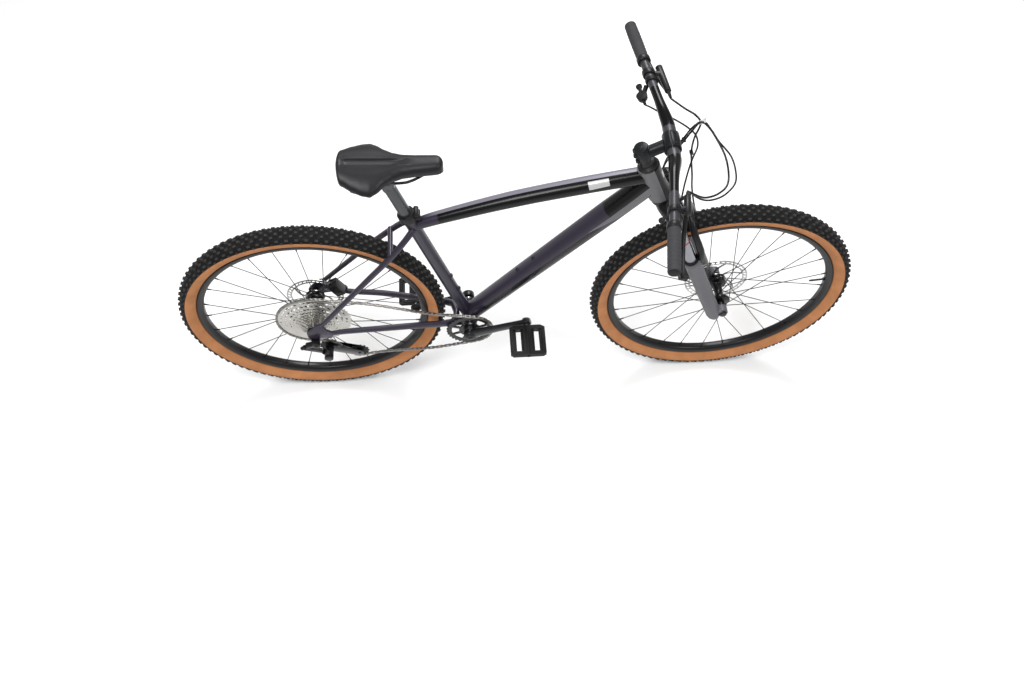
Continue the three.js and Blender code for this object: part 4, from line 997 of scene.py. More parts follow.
@dataclass
class Wheel:
    """A wheel: tyre with its tread, rim, spokes, nipples, valve, hub and rotor."""

    name: str
    axle: Vector
    ends: tuple[float, float]
    left_flange: float
    right_flange: float
    barrel: float
    flange_radius: float
    bore: float
    seat: float
    rotor_radius: float
    rotor_y: float
    tyre_radius: float = 368.0
    half_width: float = 28.5
    rim_radius: float = 317.0
    spokes: int = 28
    pitches: int = 90
    knob: float = 4.6

    @property
    def body(self) -> str:
        """The body that the wheel is."""
        return f"{self.name}_wheel"

    def across(self, y: float) -> Vector:
        """A point on the axle's line."""
        return self.axle + vec(0, y, 0)

    def casing(self) -> list[tuple[float, float]]:
        """The casing's outline as (radius, y)."""
        top = self.tyre_radius - self.knob
        w = self.half_width
        outer = [(310, 11), (317.8, 11.2), (321, 14.5), (326, 20), (333, 24.8), (341, 27.2),
                 (349, 27.0), (355, 24.6), (360, 19.5), (top - 1.2, 11.5), (top, 4)]
        inner = [(top - 4, 3), (356, 15), (345, 23), (333, 21), (325, 16), (318.6, 8.7), (310, 8.4)]
        left = [(r, min(y, w)) for r, y in outer]
        return [*left, *[(r, -y) for r, y in reversed(left)],
                *[(r, -y) for r, y in reversed(inner)], *inner]

    def tread_block(self, shape: Shape, y: float, turn: float, size: Point, lean: float,
                    skew: float, out: float) -> None:
        """One tread block.

        Args:
            shape: the shape it joins.
            y: its place across the tread.
            turn: its place round the wheel, in radians.
            size: its length round the wheel, its width and its height.
            lean: how far it leans outwards, in degrees.
            skew: how far it is turned in the tread, in degrees.
            out: the radius of its outer face.
        """
        spot = Matrix.Translation(self.axle) @ Matrix.Rotation(turn, 4, "Y")
        tilt = Matrix.Rotation(math.radians(-lean), 4, "X") @ Matrix.Rotation(math.radians(skew), 4, "Z")
        place = spot @ Matrix.Translation((0, y, out - size[2] / 2)) @ tilt
        made = bmesh.ops.create_cube(shape.bm, size=1.0, matrix=Matrix.Diagonal((*size, 1)))
        for vert in made["verts"]:
            if vert.co.z > 0:
                vert.co.x *= 0.8
                vert.co.y *= 0.84
        bmesh.ops.transform(shape.bm, matrix=place, verts=made["verts"])

    def tyre(self) -> None:
        """The casing and its tread blocks."""
        step = FULL_TURN / self.pitches
        top = self.tyre_radius - 0.1
        blocks = Shape()
        for sign in (-1, 1):
            self.tread_block(blocks, sign * 4.6, 0.0 if sign > 0 else step * 0.5, (8.6, 6.8, 7.4),
                             sign * 3, sign * 10, top)
            self.tread_block(blocks, sign * 13.2, step * (0.5 if sign > 0 else 0.02),
                             (9.4, 5.8, 7.8), sign * 18, sign * -14, top - 2.2)
            self.tread_block(blocks, sign * 21.4, step * (0.06 if sign > 0 else 0.54),
                             (10.4, 6.4, 8.6), sign * 42, 0, top - 7.6)
            self.tread_block(blocks, sign * 25.4, step * (0.5 if sign > 0 else 0.0),
                             (7.0, 4.4, 7.0), sign * 66, 0, top - 14.0)
        blocks.repeated(self.axle, self.pitches)
        rubber = TyreRubber(f"{self.name}_tyre_rubber", srgb(11, 11, 12), 0.85, 0.0, 0.0, 0.3, 30.0,
                            0.25,
                            1200.0, slot="tyre_rubber", axle=self.axle)
        Shape().turned(self.casing(), self.axle, self.across(1), 144).done(
            f"{self.name}_tyre_casing", self.body, rubber, [f"{self.name}_tyre"])
        # The blocks take the lighter tread colour: painted light on the knob tops.
        blocks.done(f"{self.name}_tread_blocks", self.body, TREAD_PAINTED_LIGHT)

    def rim(self) -> None:
        """The rim, with its hooked edges, and the valve."""
        half = [(299.5, 6), (300.6, 9.2), (306, 13.6), (312, 14.4), (316.2, 14.5), (317, 13.9),
                (317, 12.2), (316, 11.6), (309.4, 11.3)]
        outline = [*[(r, -y) for r, y in half], *[(r, y) for r, y in reversed(half)]]
        finish = Finish(f"{self.name}_rim_black", srgb(15, 15, 17), 0.35, 0.15, 0.15, 0.25, 16.0, 0.05,
                        slot="satin_black")
        Shape().turned(outline, self.axle, self.across(1), 144).done(
            f"{self.name}_rim_hoop", self.body, finish, [f"{self.name}_rim"])
        angle = math.pi / self.spokes
        way = vec(math.cos(angle), 0, math.sin(angle))
        valve = Shape().rod(self.axle + way * 300, self.axle + way * 266, 2.8, 2.8, 12, 0.3)
        valve.rod(self.axle + way * 268, self.axle + way * 257, 3.2, 2.2, 12, 0.4)
        valve.rod(self.axle + way * 300, self.axle + way * 295, 5, 5, 12, 0.6)
        valve.done(f"{self.name}_valve", self.body, BLACK)

    def lacing(self) -> None:
        """The spokes with their heads, and the nipples at the rim."""
        wires = Shape()
        nipples = Shape()
        for index in range(self.spokes):
            left = index % 2 == 0
            leading = (index // 2) % 2 == 0
            angle = FULL_TURN * index / self.spokes
            lean = math.radians(76 if leading else -76)
            flange = self.left_flange if left else self.right_flange
            head = flange + (1.9 if leading else -1.9)
            hole = self.flange_radius - 2.5
            start = self.axle + vec(hole * math.cos(angle + lean), head, hole * math.sin(angle + lean))
            end = self.axle + vec(298 * math.cos(angle), 3 if left else -3, 298 * math.sin(angle))
            wires.rod(start, end, 1.15, 1.15, 8)
            wires.rod(start - vec(0, 2.6, 0), start + vec(0, 2.6, 0), 1.9, 1.9, 8)
            way = (start - end).normalized()
            nipples.rod(end - way * 2, end + way * 11, 2.3, 1.7, 10)
        wires.done(f"{self.name}_spokes", self.body, SPOKE)
        nipples.done(f"{self.name}_nipples", self.body, BLACK)

    def hub(self) -> None:
        """The hub shell with its flanges and end caps."""
        low, high = self.ends
        left, right, rim = self.left_flange, self.right_flange, self.flange_radius
        waist = self.barrel
        half = (left + right) / 2
        profile = [
            (self.bore, low), (10.4, low), (11, low + 0.6), (11, right - 6), (rim - 1, right - 3),
            (rim, right - 2), (rim, right + 2), (rim - 2, right + 3.4), (waist + 2, right + 7),
            (waist, right + 11), (waist - 0.8, half), (waist, left - 11), (waist + 2, left - 7),
            (rim - 2, left - 3.4), (rim, left - 2), (rim, left + 2), (rim - 1, left + 3),
            (21, self.seat - 1), (20, self.seat), (10.5, self.seat + 0.3), (10.5, high),
            (self.bore, high),
        ]
        finish = TurnedMetal(f"{self.name}_hub_black", srgb(18, 18, 20), 0.3, 0.3, 0.2, 0.25, 20.0, 0.06,
                             slot="anodised", axle=self.axle)
        Shape().turned(profile, self.axle, self.across(1), 48).done(
            f"{self.name}_hub_shell", self.body, finish, [f"{self.name}_hub"])

    def rotor(self) -> None:
        """The brake rotor: two tracks, slanted webs, curved arms and six bolts."""
        radius, y = self.rotor_radius, self.rotor_y
        shape = Shape()
        webs = 36
        turn = Matrix.Rotation(math.radians(34), 4, "Y")
        shape.block(self.axle + vec(0, y, radius - 7.5), (3.0, 1.7, 9.0), turn, 0.0)
        shape.repeated(self.axle, webs)
        for near, far in ((radius - 4.4, radius), (radius - 15, radius - 10.6)):
            shape.turned([(near, y - 0.9), (far - 0.3, y - 0.9), (far, y - 0.6), (far, y + 0.6),
                          (far - 0.3, y + 0.9), (near, y + 0.9)], self.axle, self.across(1), 96)
        arms = Shape()
        root, tip = 24.0, radius - 13
        stations = []
        curve = ((0, -0.5, 3.2), (0.35, -0.25, 3.0), (0.7, 0.02, 3.0), (1, 0.2, 3.0))
        for share, lean, wide in curve:
            reach = root + (tip - root) * share
            spot = self.axle + vec(reach * math.sin(lean), y, reach * math.cos(lean))
            stations.append((spot, wide, 0.85))
        arms.loft(stations, 12, 4.0, 4)
        arms.repeated(self.axle, 6)
        arms.turned([(20.4, y - 0.9), (28, y - 0.9), (28, y + 0.9), (20.4, y + 0.9)],
                    self.axle, self.across(1), 48)
        finish = BrakeTrack(f"{self.name}_rotor_steel", srgb(168, 168, 170), 0.26, 0.95, 0.0, 0.15, 30.0,
                            0.04, slot="polished", axle=self.axle, pitch=0.0009,
                            track_start=(radius - 15.2) * MM)
        merged = bpy.data.meshes.new("arms")
        arms.bm.to_mesh(merged)
        arms.bm.free()
        shape.bm.from_mesh(merged)
        bpy.data.meshes.remove(merged)
        shape.done(f"{self.name}_rotor_disc", self.body, finish, [f"{self.name}_rotor"])
        bolts = Shape()
        Frameset.bolt(bolts, self.across(y + 0.9) + vec(0, 0, 24.2), vec(0, 1, 0), 3.4, 2.2)
        bolts.repeated(self.axle, 6)
        bolts.done(f"{self.name}_rotor_bolts", self.body, BLACK)

    def build(self) -> None:
        """Builds the whole wheel."""
        self.tyre()
        self.rim()
        self.lacing()
        self.hub()
        self.rotor()


# Painted light: the tread blocks are a lighter grey than the black rubber of the casing's tread, to
# stand in for the light on the knob tops.
TREAD_PAINTED_LIGHT = Finish("tread_painted_light", srgb(50, 49, 48), 0.8, 0.0, 0.0, 0.35, 45.0, 0.3, 900.0,
               slot="tyre_rubber")
SPOKE = Finish("spoke_black", srgb(28, 28, 31), 0.35, 0.3, 0.0, 0.2, 40.0, 0.03, slot="anodised")


COGS = (51, 45, 39, 33, 28, 24, 21, 18, 16, 14, 12, 10)
COG_Y = -31.0
COG_STEP = 3.05
CHAINRING_Y = -50.0
CHAINRING_TEETH = 32
PULLEY_TEETH = 13
CHAIN_PITCH = 12.7


def pitch_radius(teeth: int) -> float:
    """The radius that the chain's pins run on."""
    return CHAIN_PITCH / (2 * math.sin(math.pi / teeth))


@dataclass
class Cassette:
    """Twelve cogs, with open arms in the large ones, and their lockring."""

    open_cogs: int = 5
    thick: float = 1.9

    def build(self) -> None:
        """Builds the cogs and the lockring."""
        shape = Shape()
        arms = Shape()
        for index, teeth in enumerate(COGS):
            pitch = pitch_radius(teeth)
            centre = REAR_AXLE + vec(0, COG_Y - index * COG_STEP, 0)
            inner = pitch - 11.0 if index < self.open_cogs else 15.0
            shape.toothed(centre, teeth, pitch - 0.4, inner, self.thick, 3.4)
            if index >= self.open_cogs:
                continue
            below = pitch_radius(COGS[index + 1]) - 8
            for turn in range(8):
                lean = turn * math.pi / 4 + index * 0.13
                near, far = below - 9, inner + 2
                middle = (near + far) / 2
                spot = centre + vec(middle * math.cos(lean), -0.2, middle * math.sin(lean))
                arms.block(spot, (far - near, self.thick - 0.2, 5.5), Matrix.Rotation(-lean, 4, "Y"),
                           0.3)
        finish = TurnedMetal("cog_steel", srgb(186, 184, 179), 0.3, 0.95, 0.0, 0.22, 26.0, 0.08,
                             slot="brushed_steel", axle=REAR_AXLE)
        shape.done("cassette_cogs", "cassette", finish, ["cassette"])
        depth = COG_Y - COG_STEP * len(COGS)
        arms.turned([(14, 3), (15.5, 3), (30, 6), (30, 7), (15.5, 9), (14, 9)],
                    REAR_AXLE + vec(0, COG_Y - 12, 0), REAR_AXLE + vec(0, COG_Y, 0), 40)
        arms.turned([(9, 0), (17, 0), (17, 1.2), (14.2, 2.4), (14.2, -depth - 25.5), (9, -depth - 25.5)],
                    REAR_AXLE + vec(0, depth - 0.5, 0), REAR_AXLE + vec(0, depth + 1, 0), 40)
        arms.done("cassette_spider", "cassette", CRANK)


@dataclass
class Chain:
    """The chain: inner and outer links with their rollers, once round all its wheels."""

    roller: float = 3.8
    plate: float = 0.9
    plate_half: float = 3.7
    circles: list[tuple[Vector, float, int]] = field(default_factory=lambda: [
        (BOTTOM_BRACKET, pitch_radius(CHAINRING_TEETH), 1),
        (TENSION_PULLEY, pitch_radius(PULLEY_TEETH), 1),
        (GUIDE_PULLEY, pitch_radius(PULLEY_TEETH), -1), (REAR_AXLE, pitch_radius(COGS[0]), 1),
    ])

    @staticmethod
    def heading(one: tuple[Vector, float, int], two: tuple[Vector, float, int]) -> float:
        """The heading of the straight run from one circle to the next."""
        gap = two[0] - one[0]
        base = math.atan2(gap.z, gap.x)
        return base - math.asin((one[2] * one[1] - two[2] * two[1]) / math.hypot(gap.x, gap.z))

    @staticmethod
    def height_at(x: float) -> float:
        """The chain's y, which leads from the cog to the chainring."""
        return COG_Y + (CHAINRING_Y - COG_Y) * smooth_step(x, -440, -215)

    def line(self) -> list[Vector]:
        """Fine points along the chain's pins."""
        points = []
        for index, circle in enumerate(self.circles):
            centre, radius, turn = circle
            before = self.circles[index - 1]
            after = self.circles[(index + 1) % len(self.circles)]
            start = self.heading(before, circle) + turn * math.pi / 2
            sweep = self.heading(circle, after) + turn * math.pi / 2 - start
            while sweep * turn > 0:
                sweep -= turn * FULL_TURN
            for step in range(65):
                angle = start + sweep * step / 64
                points.append(vec(centre.x + radius * math.cos(angle), 0,
                                  centre.z + radius * math.sin(angle)))
            heading = self.heading(circle, after) + after[2] * math.pi / 2
            end = vec(after[0].x + after[1] * math.cos(heading), 0,
                      after[0].z + after[1] * math.sin(heading))
            start_run = points[-1]
            points.extend(start_run.lerp(end, step / 24) for step in range(1, 24))
        for point in points:
            point.y = self.height_at(point.x)
        return points

    def pins(self) -> list[Vector]:
        """Evenly spaced pin places, as near to the pitch as the loop's length allows."""
        line = self.line()
        line.append(line[0].copy())
        total = sum((two - one).length for one, two in zip(line, line[1:]))
        count = 2 * round(total / CHAIN_PITCH / 2)
        step = total / count
        pins, travelled = [], 0.0
        for one, two in zip(line, line[1:]):
            length = (two - one).length
            while len(pins) < count and len(pins) * step <= travelled + length:
                pins.append(one.lerp(two, (len(pins) * step - travelled) / max(length, 1e-9)))
            travelled += length
        return pins

    def side_plate(self, shape: Shape, one: Vector, two: Vector, offset: float) -> None:
        """One waisted side plate between two pins."""
        middle = (one + two) / 2
        way = (two - one).normalized()
        side = (vec(0, 1, 0) - way * way.y).normalized()
        turn = Matrix((way, side, way.cross(side))).transposed().to_4x4()
        half = (two - one).length / 2
        made = bmesh.ops.create_circle(shape.bm, cap_ends=True, segments=12, radius=self.plate_half,
                                       matrix=Matrix.Rotation(math.pi / 2, 4, "X"))["verts"]
        for vert in made:
            if abs(vert.co.x) < 0.4 * self.plate_half:
                vert.co.z *= 0.78
            else:
                vert.co.x += half if vert.co.x > 0 else -half
        face = made[0].link_faces[0]
        lifted = bmesh.ops.extrude_face_region(shape.bm, geom=[face], use_keep_orig=True)["geom"]
        upper = [item for item in lifted if isinstance(item, bmesh.types.BMVert)]
        bmesh.ops.translate(shape.bm, verts=upper, vec=(0, self.plate, 0))
        around = [*made, *upper]
        shell = list({item for vert in around for item in vert.link_faces})
        bmesh.ops.recalc_face_normals(shape.bm, faces=shell)
        place = Matrix.Translation(middle + side * (offset - self.plate / 2)) @ turn
        bmesh.ops.transform(shape.bm, matrix=place, verts=around)

    def build(self) -> None:
        """Builds the links and the rollers."""
        shape = Shape()
        pins = self.pins()
        for index, pin in enumerate(pins):
            after = pins[(index + 1) % len(pins)]
            offset = 1.75 if index % 2 else 2.75
            for sign in (-1, 1):
                self.side_plate(shape, pin, after, sign * offset)
            shape.rod(pin + vec(0, -2.9, 0), pin + vec(0, 2.9, 0), 1.6, sides=8)
            shape.rod(pin + vec(0, -1.2, 0), pin + vec(0, 1.2, 0), self.roller, sides=10)
        shape.done("chain_links", "frame", CHAIN, ["chain"])


@dataclass
class Cranks:
    """Crank arms, chainring and pedals."""

    ring_thick: float = 3.6
    pedal_half: float = 49.0
    pins: tuple[tuple[float, float], ...] = ((-43, -36), (-43, 0), (-43, 36), (43, -36), (43, 0),
                                             (43, 36))

    def arm(self, side: Side) -> None:
        """One forged arm with its pedal eye."""
        pedal = RIGHT_PEDAL if side is Side.RIGHT else LEFT_PEDAL
        end = vec(pedal.x, 0, pedal.z)

        def at(share: float, offset: float) -> Vector:
            """A point so far along the arm, and so far out."""
            return BOTTOM_BRACKET.lerp(end, share) + vec(0, side.value * offset, 0)

        shape = Shape().loft([
            (at(-0.09, 67), 9, 6), (at(-0.05, 67), 15, 7.4), (at(0.12, 67), 16.5, 8),
            (at(0.5, 72), 13, 7),
            (at(0.9, 78), 12, 7.4), (at(1.0, 79), 13, 7.4), (at(1.07, 79), 9, 6.5)], 28, 2.8, 5)
        shape.rod(at(0, 58), at(0, 75.5), 18, 17, 40, 1.6)
        shape.rod(at(1, 70), at(1, 87), 12.5, 12.5, 32, 1.2)
        shape.done(f"{side.word}_crank_arm", "crankset", CRANK, [f"{side.word}_crank"])
        cap = Shape().turned([(0, 0), (14, 0), (14, 1.4), (12.5, 2.4), (6, 2.4), (5, 0.6), (0, 0.6)],
                             at(0, 75.4), at(0, 77), 32)
        cap.turned([(0, 0), (8, 0), (8, 1.2), (7, 2), (4, 2), (3.6, 0.4), (0, 0.4)],
                   at(1, 86.8), at(1, 88), 24)
        cap.done(f"{side.word}_crank_cap", "crankset", BLACK)
        axle = Shape().rod(at(1, 88), at(1, 96), 6.5, 6.5, 24, 0.6).rod(at(1, 90), at(1, 184), 4.4,
                                                                        sides=20)
        if side is Side.RIGHT:
            axle.rod(at(0, -55), at(0, 62), 12, sides=32)
        axle.done(f"{side.word}_pedal_axle", "crankset", SILVER)

    def chainring(self) -> None:
        """The narrow-wide chainring with its eight windows."""
        pitch = pitch_radius(CHAINRING_TEETH)
        centre = BOTTOM_BRACKET + vec(0, CHAINRING_Y, 0)
        shape = Shape().toothed(centre, CHAINRING_TEETH, pitch, pitch - 13, self.ring_thick, 4.0)
        shape.turned([(13, -1.9), (31, -1.9), (31, 1.9), (13, 1.9)], centre, centre + vec(0, 1, 0), 48)
        for turn in range(8):
            lean = (turn + 0.5) * math.pi / 4
            spot = centre + vec(41.5 * math.cos(lean), 0, 41.5 * math.sin(lean))
            shape.block(spot, (25, 3.4, 9), Matrix.Rotation(-lean, 4, "Y"), 0.8)
        shape.done("chainring_toothed", "crankset", CRANK, ["chainring"])

    def pedal(self, side: Side) -> None:
        """A platform pedal with grip pins and its end cap."""
        node = f"{side.word}_pedal"
        centre = RIGHT_PEDAL if side is Side.RIGHT else LEFT_PEDAL
        body = Shape().taken(node, 1.6)
        for sign in (-1, 1):
            for x, wide in ((36, 9), (15.5, 6)):
                body.block(vec(centre.x + sign * x, side.value * 140, centre.z), (wide, 74, 11),
                           bevel=1.6)
        body.done(f"{node}_body", node, PLASTIC, [node])
        pins = Shape()
        for x, y in self.pins:
            spot = vec(centre.x + x, side.value * 140 + y, centre.z)
            for sign in (-1, 1):
                pins.rod(spot + vec(0, 0, sign * 7.5), spot + vec(0, 0, sign * 9.6), 1.7, 1.4, 10, 0.2)
        pins.done(f"{node}_pins", node, PLASTIC)

    def build(self) -> None:
        """Builds everything on the spindle."""
        for side in SIDES:
            self.arm(side)
            self.pedal(side)
        self.chainring()


@dataclass
class Derailleur:
    """The rear derailleur with its pulleys."""

    def pulley(self, name: str, centre: Vector) -> None:
        """A toothed pulley wheel."""
        pitch = pitch_radius(PULLEY_TEETH)
        shape = Shape().toothed(centre, PULLEY_TEETH, pitch - 0.3, 12.0, 2.4, 4.0)
        shape.turned([(3.2, -2.4), (7.5, -2.4), (12.4, -1.6), (12.4, 1.6), (7.5, 2.4), (3.2, 2.4)],
                     centre, centre + vec(0, 1, 0), 36)
        shape.done(f"{name}_wheel", name, PLASTIC, [name])

    def build(self) -> None:
        """Builds the derailleur's links, cage, bolts and pulleys."""
        bodies = {"derailleur_hanger": ("frame", CRANK), "derailleur_link": ("derailleur_link", CRANK),
                  "derailleur_knuckle": ("derailleur_knuckle", CRANK),
                  "derailleur_cage": ("derailleur_cage", GLOSS)}
        for node, (body, finish) in bodies.items():
            Shape().taken(node, 1.0).done(f"{node}_body", body, finish, [node])
        self.pulley("guide_pulley", GUIDE_PULLEY)
        self.pulley("tension_pulley", TENSION_PULLEY)
        heads = Shape()
        for centre in (GUIDE_PULLEY, TENSION_PULLEY):
            Frameset.bolt(heads, centre + vec(0, -10.1, 0), vec(0, -1, 0), 4.4, 1.4)
        heads.done("cage_bolts", "derailleur_cage", BLACK)
        pivot = Shape()
        Frameset.bolt(pivot, vec(REAR_AXLE.x + 4, -98, REAR_AXLE.z - 30), vec(0, -1, 0), 7.5, 2.0)
        pivot.done("hanger_bolt", "frame", BLACK)


@dataclass
class Seat:
    """Seatpost, rails and the padded saddle."""

    tail: float = -427.0
    nose: float = -179.0
    rail_height: float = 924.0
    post_top: float = 606.0
    channel: float = 11.0
    roll: float = 1.95
    plan: tuple[tuple[float, float], ...] = (
        (0, 42), (0.05, 52), (0.14, 66), (0.24, 77), (0.31, 80), (0.37, 71), (0.45, 52), (0.53, 39),
        (0.62, 31), (0.75, 27), (0.88, 25), (1, 22),
    )

    def half(self, share: float) -> float:
        """The saddle's half width so far along it from the tail."""
        for (t0, w0), (t1, w1) in zip(self.plan, self.plan[1:]):
            if share <= t1:
                t = (share - t0) / (t1 - t0)
                return w0 + (w1 - w0) * (t * t * (3 - 2 * t) * 0.35 + t * 0.65)
        return self.plan[-1][1]

    def height(self, share: float, y: float) -> float:
        """The top's height at a place."""
        return 984 - 9 * math.sin(math.pi / 2 * min(1.0, share * 1.4)) - 13 * (y / 79) ** 2

    def cover(self) -> None:
        """The padded cover: a crowned top with a centre channel, rolled under at its edge."""
        shape = Shape()
        grid = bmesh.ops.create_grid(shape.bm, x_segments=96, y_segments=72, size=1.0)["verts"]
        for vert in grid:
            along = math.sin(vert.co.x * math.pi / 2)
            share = (along + 1) / 2
            end = 0.07 if along < 0 else 0.13
            closing = math.sqrt(max(0.0, 1 - (max(0.0, abs(along) - 1 + end) / end) ** 2))
            half = self.half(share) * (0.1 + 0.9 * closing)
            off = abs(vert.co.y)
            ridge = math.asin(min(0.9, self.channel / half))
            angle = ridge * off * 4 if off < 0.25 else ridge + (self.roll - ridge) * (off - 0.25) / 0.75
            y = math.copysign(half * math.sin(angle), vert.co.y)
            middle = smooth_step(share, 0.03, 0.1) * (1 - smooth_step(share, 0.5, 0.74))
            skirt = ((1 - math.cos(angle)) / (1 - math.cos(self.roll))) ** 1.5
            channel = 5.0 * (1 - smooth_step(off, 0.1,
                                             0.25)) - 1.4 * math.exp(-((off - 0.25) / 0.05) ** 2)
            z = self.height(share, y) - skirt * 27 - channel * middle
            x = self.tail + share * (self.nose - self.tail)
            vert.co = vec(x, y, z - 10 * (1 - closing))
        bmesh.ops.recalc_face_normals(shape.bm, faces=shape.bm.faces)
        bmesh.ops.solidify(shape.bm, geom=shape.bm.faces[:], thickness=4.0)
        bmesh.ops.recalc_face_normals(shape.bm, faces=shape.bm.faces)
        piece = shape.done("saddle_padding", "seatpost", SADDLE, ["saddle_cover"])

    def build(self) -> None:
        """Builds the saddle and the post."""
        self.cover()
        base = Shape().taken("saddle_shell", 0.8)
        for vert in base.bm.verts:
            vert.co.y *= 0.9
        base.done("saddle_base", "seatpost", PLASTIC, ["saddle_shell"])
        rails = [(-412, -28, 936), (-398, -25, 928), (-376, -22, 924), (-284, -22, 924),
                 (-256, -20, 928),
                 (-226, -12, 939), (-218, 0, 941), (-226, 12, 939), (-256, 20, 928), (-284, 22, 924),
                 (-376, 22, 924), (-398, 25, 928), (-412, 28, 936)]
        Shape().strand([vec(*point) for point in rails], 3.5, 14, 5).done(
            "saddle_rail_loop", "seatpost", BLACK, ["saddle_rails"])
        post = Shape().rod(SEAT.at(0, 0, 250), SEAT.at(0, 0, self.post_top), 15.8, sides=48)
        head = SEAT.at(0, 0, self.post_top + 4)
        post.loft([(SEAT.at(0, 0, self.post_top - 6), 15.5, 15.5), (head, 17, 15),
                   (vec(head.x, 0, self.rail_height - 6), 19, 20),
                   (vec(head.x, 0, self.rail_height + 1), 19, 30)], 28, 3.0, 4)
        tilt = Matrix.Rotation(math.radians(-4), 4, "Y")
        post.block(vec(head.x, 0, self.rail_height + 4.6), (38, 60, 6.5), tilt, 2.2, 3)
        post.done("seatpost_tube", "seatpost", POST_METAL, ["seatpost"])
        bolts = Shape()
        for ahead in (-13, 13):
            bolts.rod(vec(head.x + ahead, 0, self.rail_height - 26), vec(head.x + ahead, 0, 934), 2.6,
                      sides=16)
            bolts.rod(vec(head.x + ahead, 0, self.rail_height - 30), vec(head.x + ahead, 0, 897), 4.4,
                      sides=20, bevel=0.5)
        bolts.done("rail_clamp_bolts", "seatpost", BLACK)


@dataclass
class Fork:
    """Crown, stanchions, lowers with their arch, axle, dial and calipers."""

    crown_low: float = 448.0
    leg_profile: tuple[tuple[float, float], ...] = (
        (0, 1), (9, 1), (13, 2.2), (14.4, 6), (18.5, 14), (20.8, 26), (21.4, 120), (22, 288),
        (23.4, 291),
        (24, 294), (24, 302), (23.2, 304), (16.8, 304), (16.8, 280), (0, 280),
    )

    def crown(self) -> None:
        """The forged crown with the steerer's foot and the race."""
        shape = Shape().loft([(STEER.at(LEG_U, -LEG_Y, 468), 18, 18), (STEER.at(14, -48, 469), 17, 19),
                              (STEER.at(6, -26, 470), 16, 21), (STEER.at(2, 0, 471), 16, 22),
                              (STEER.at(6, 26, 470), 16, 21), (STEER.at(14, 48, 469), 17, 19),
                              (STEER.at(LEG_U, LEG_Y, 468), 18, 18)], 28, 3.0, 4, vec(1, 0, 0))
        shape.rod(STEER.at(0, 0, 482), STEER.at(0, 0, 498.2), 27, 24.5, 48, 1.2)
        shape.rod(STEER.at(0, 0, 478), STEER.at(0, 0, 670), 14.3, sides=40)
        for side in SIDES:
            y = side.value * LEG_Y
            shape.rod(STEER.at(LEG_U, y, self.crown_low), STEER.at(LEG_U, y, 489), 22, 21, 40, 2.0)
        shape.done("fork_crown_forging", "steering", BLACK, ["fork_crown"])

    def stanchions(self) -> None:
        """Both chromed stanchions and the travel ring."""
        for side in SIDES:
            y = side.value * LEG_Y
            Shape().turned([(13, 165), (16, 165), (16, 483.5), (13, 483.5)], STEER.at(LEG_U, y, 0),
                           STEER.at(LEG_U, y, 1), 48).done(
                f"{side.word}_stanchion_tube", "steering", CHROME, [f"{side.word}_stanchion"])
        ring = Shape().turned([(16.05, 369), (16.6, 369.4), (16.8, 371), (16.6, 372.6), (16.05, 373)],
                              STEER.at(LEG_U, -LEG_Y, 0), STEER.at(LEG_U, -LEG_Y, 1), 40)
        ring.done("travel_ring", "steering", RED)
        cap = Shape().rod(STEER.at(LEG_U, LEG_Y, 489), STEER.at(LEG_U, LEG_Y, 497), 14, 12, 32, 1.5)
        cap.done("air_cap", "steering", GLOSS)

    def lowers(self) -> None:
        """Both legs, the arch ahead of them and the axle lugs."""
        shape = Shape()
        for side in SIDES:
            sign = side.value
            y = sign * LEG_Y
            shape.turned(self.leg_profile, STEER.at(LEG_U, y, -24), STEER.at(LEG_U, y, -23), 48)
            shape.turned([(8, 55), (13.6, 55), (14.5, 56), (14.5, 75), (13.6, 76), (8, 76)],
                         STEER.at(FORK_OFFSET, 0, 0), STEER.at(FORK_OFFSET, sign, 0), 40)
            shape.loft([(STEER.at(24, sign * 66, 26), 9, 12), (STEER.at(36, sign * 66, 12), 8, 15),
                        (STEER.at(46, sign * 66, 8), 7, 13)], 20, 2.6, 4)
        shape.block(STEER.at(-6, 67, 66), (26, 14, 52), Matrix.Rotation(math.radians(-21.5), 4, "Y"),
                    3.0, 3)
        shape.done("fork_lower_legs", "fork_lowers", FORK_PAINT, ["fork_lowers"])
        arch = Shape().loft([
            (STEER.at(34, -LEG_Y, 258), 11, 8), (STEER.at(48.5, -64, 290), 10, 8),
            (STEER.at(51, -60, 325), 9.5, 8), (STEER.at(50, -48, 366), 9, 8.5),
            (STEER.at(52.4, -27, 388), 8.5, 9.5), (STEER.at(53, 0, 394), 8, 10),
            (STEER.at(52.4, 27, 388), 8.5, 9.5), (STEER.at(50, 48, 366), 9, 8.5),
            (STEER.at(51, 60, 325), 9.5, 8), (STEER.at(48.5, 64, 290), 10, 8),
            (STEER.at(34, LEG_Y, 258), 11, 8)], 24, 2.8, 4, STEER.up)
        arch.done("fork_arch", "fork_lowers", BLACK)
        wipers = Shape()
        for side in SIDES:
            wipers.turned([(16.4, 274), (20.4, 274), (21, 275), (21, 279), (19, 281.4), (18, 284.5),
                           (16.4, 285)], STEER.at(LEG_U, side.value * LEG_Y, 0),
                          STEER.at(LEG_U, side.value * LEG_Y, 1), 40)
        wipers.done("fork_wipers", "fork_lowers", PLASTIC)

    def build(self) -> None:
        """Builds the fork."""
        self.crown()
        self.stanchions()
        self.lowers()
        Shape().taken("front_axle", 0.7).done("front_thru_axle", "fork_lowers", BLACK, ["front_axle"])
        Shape().taken("lockout_dial", 0.6).done("lockout_dial_knob", "lockout_dial", GLOSS,
                                                ["lockout_dial"])
        for name, body in (("front_caliper", "fork_lowers"), ("rear_caliper", "frame")):
            Shape().taken(name, 2.0).done(f"{name}_body", body, BLACK, [name])


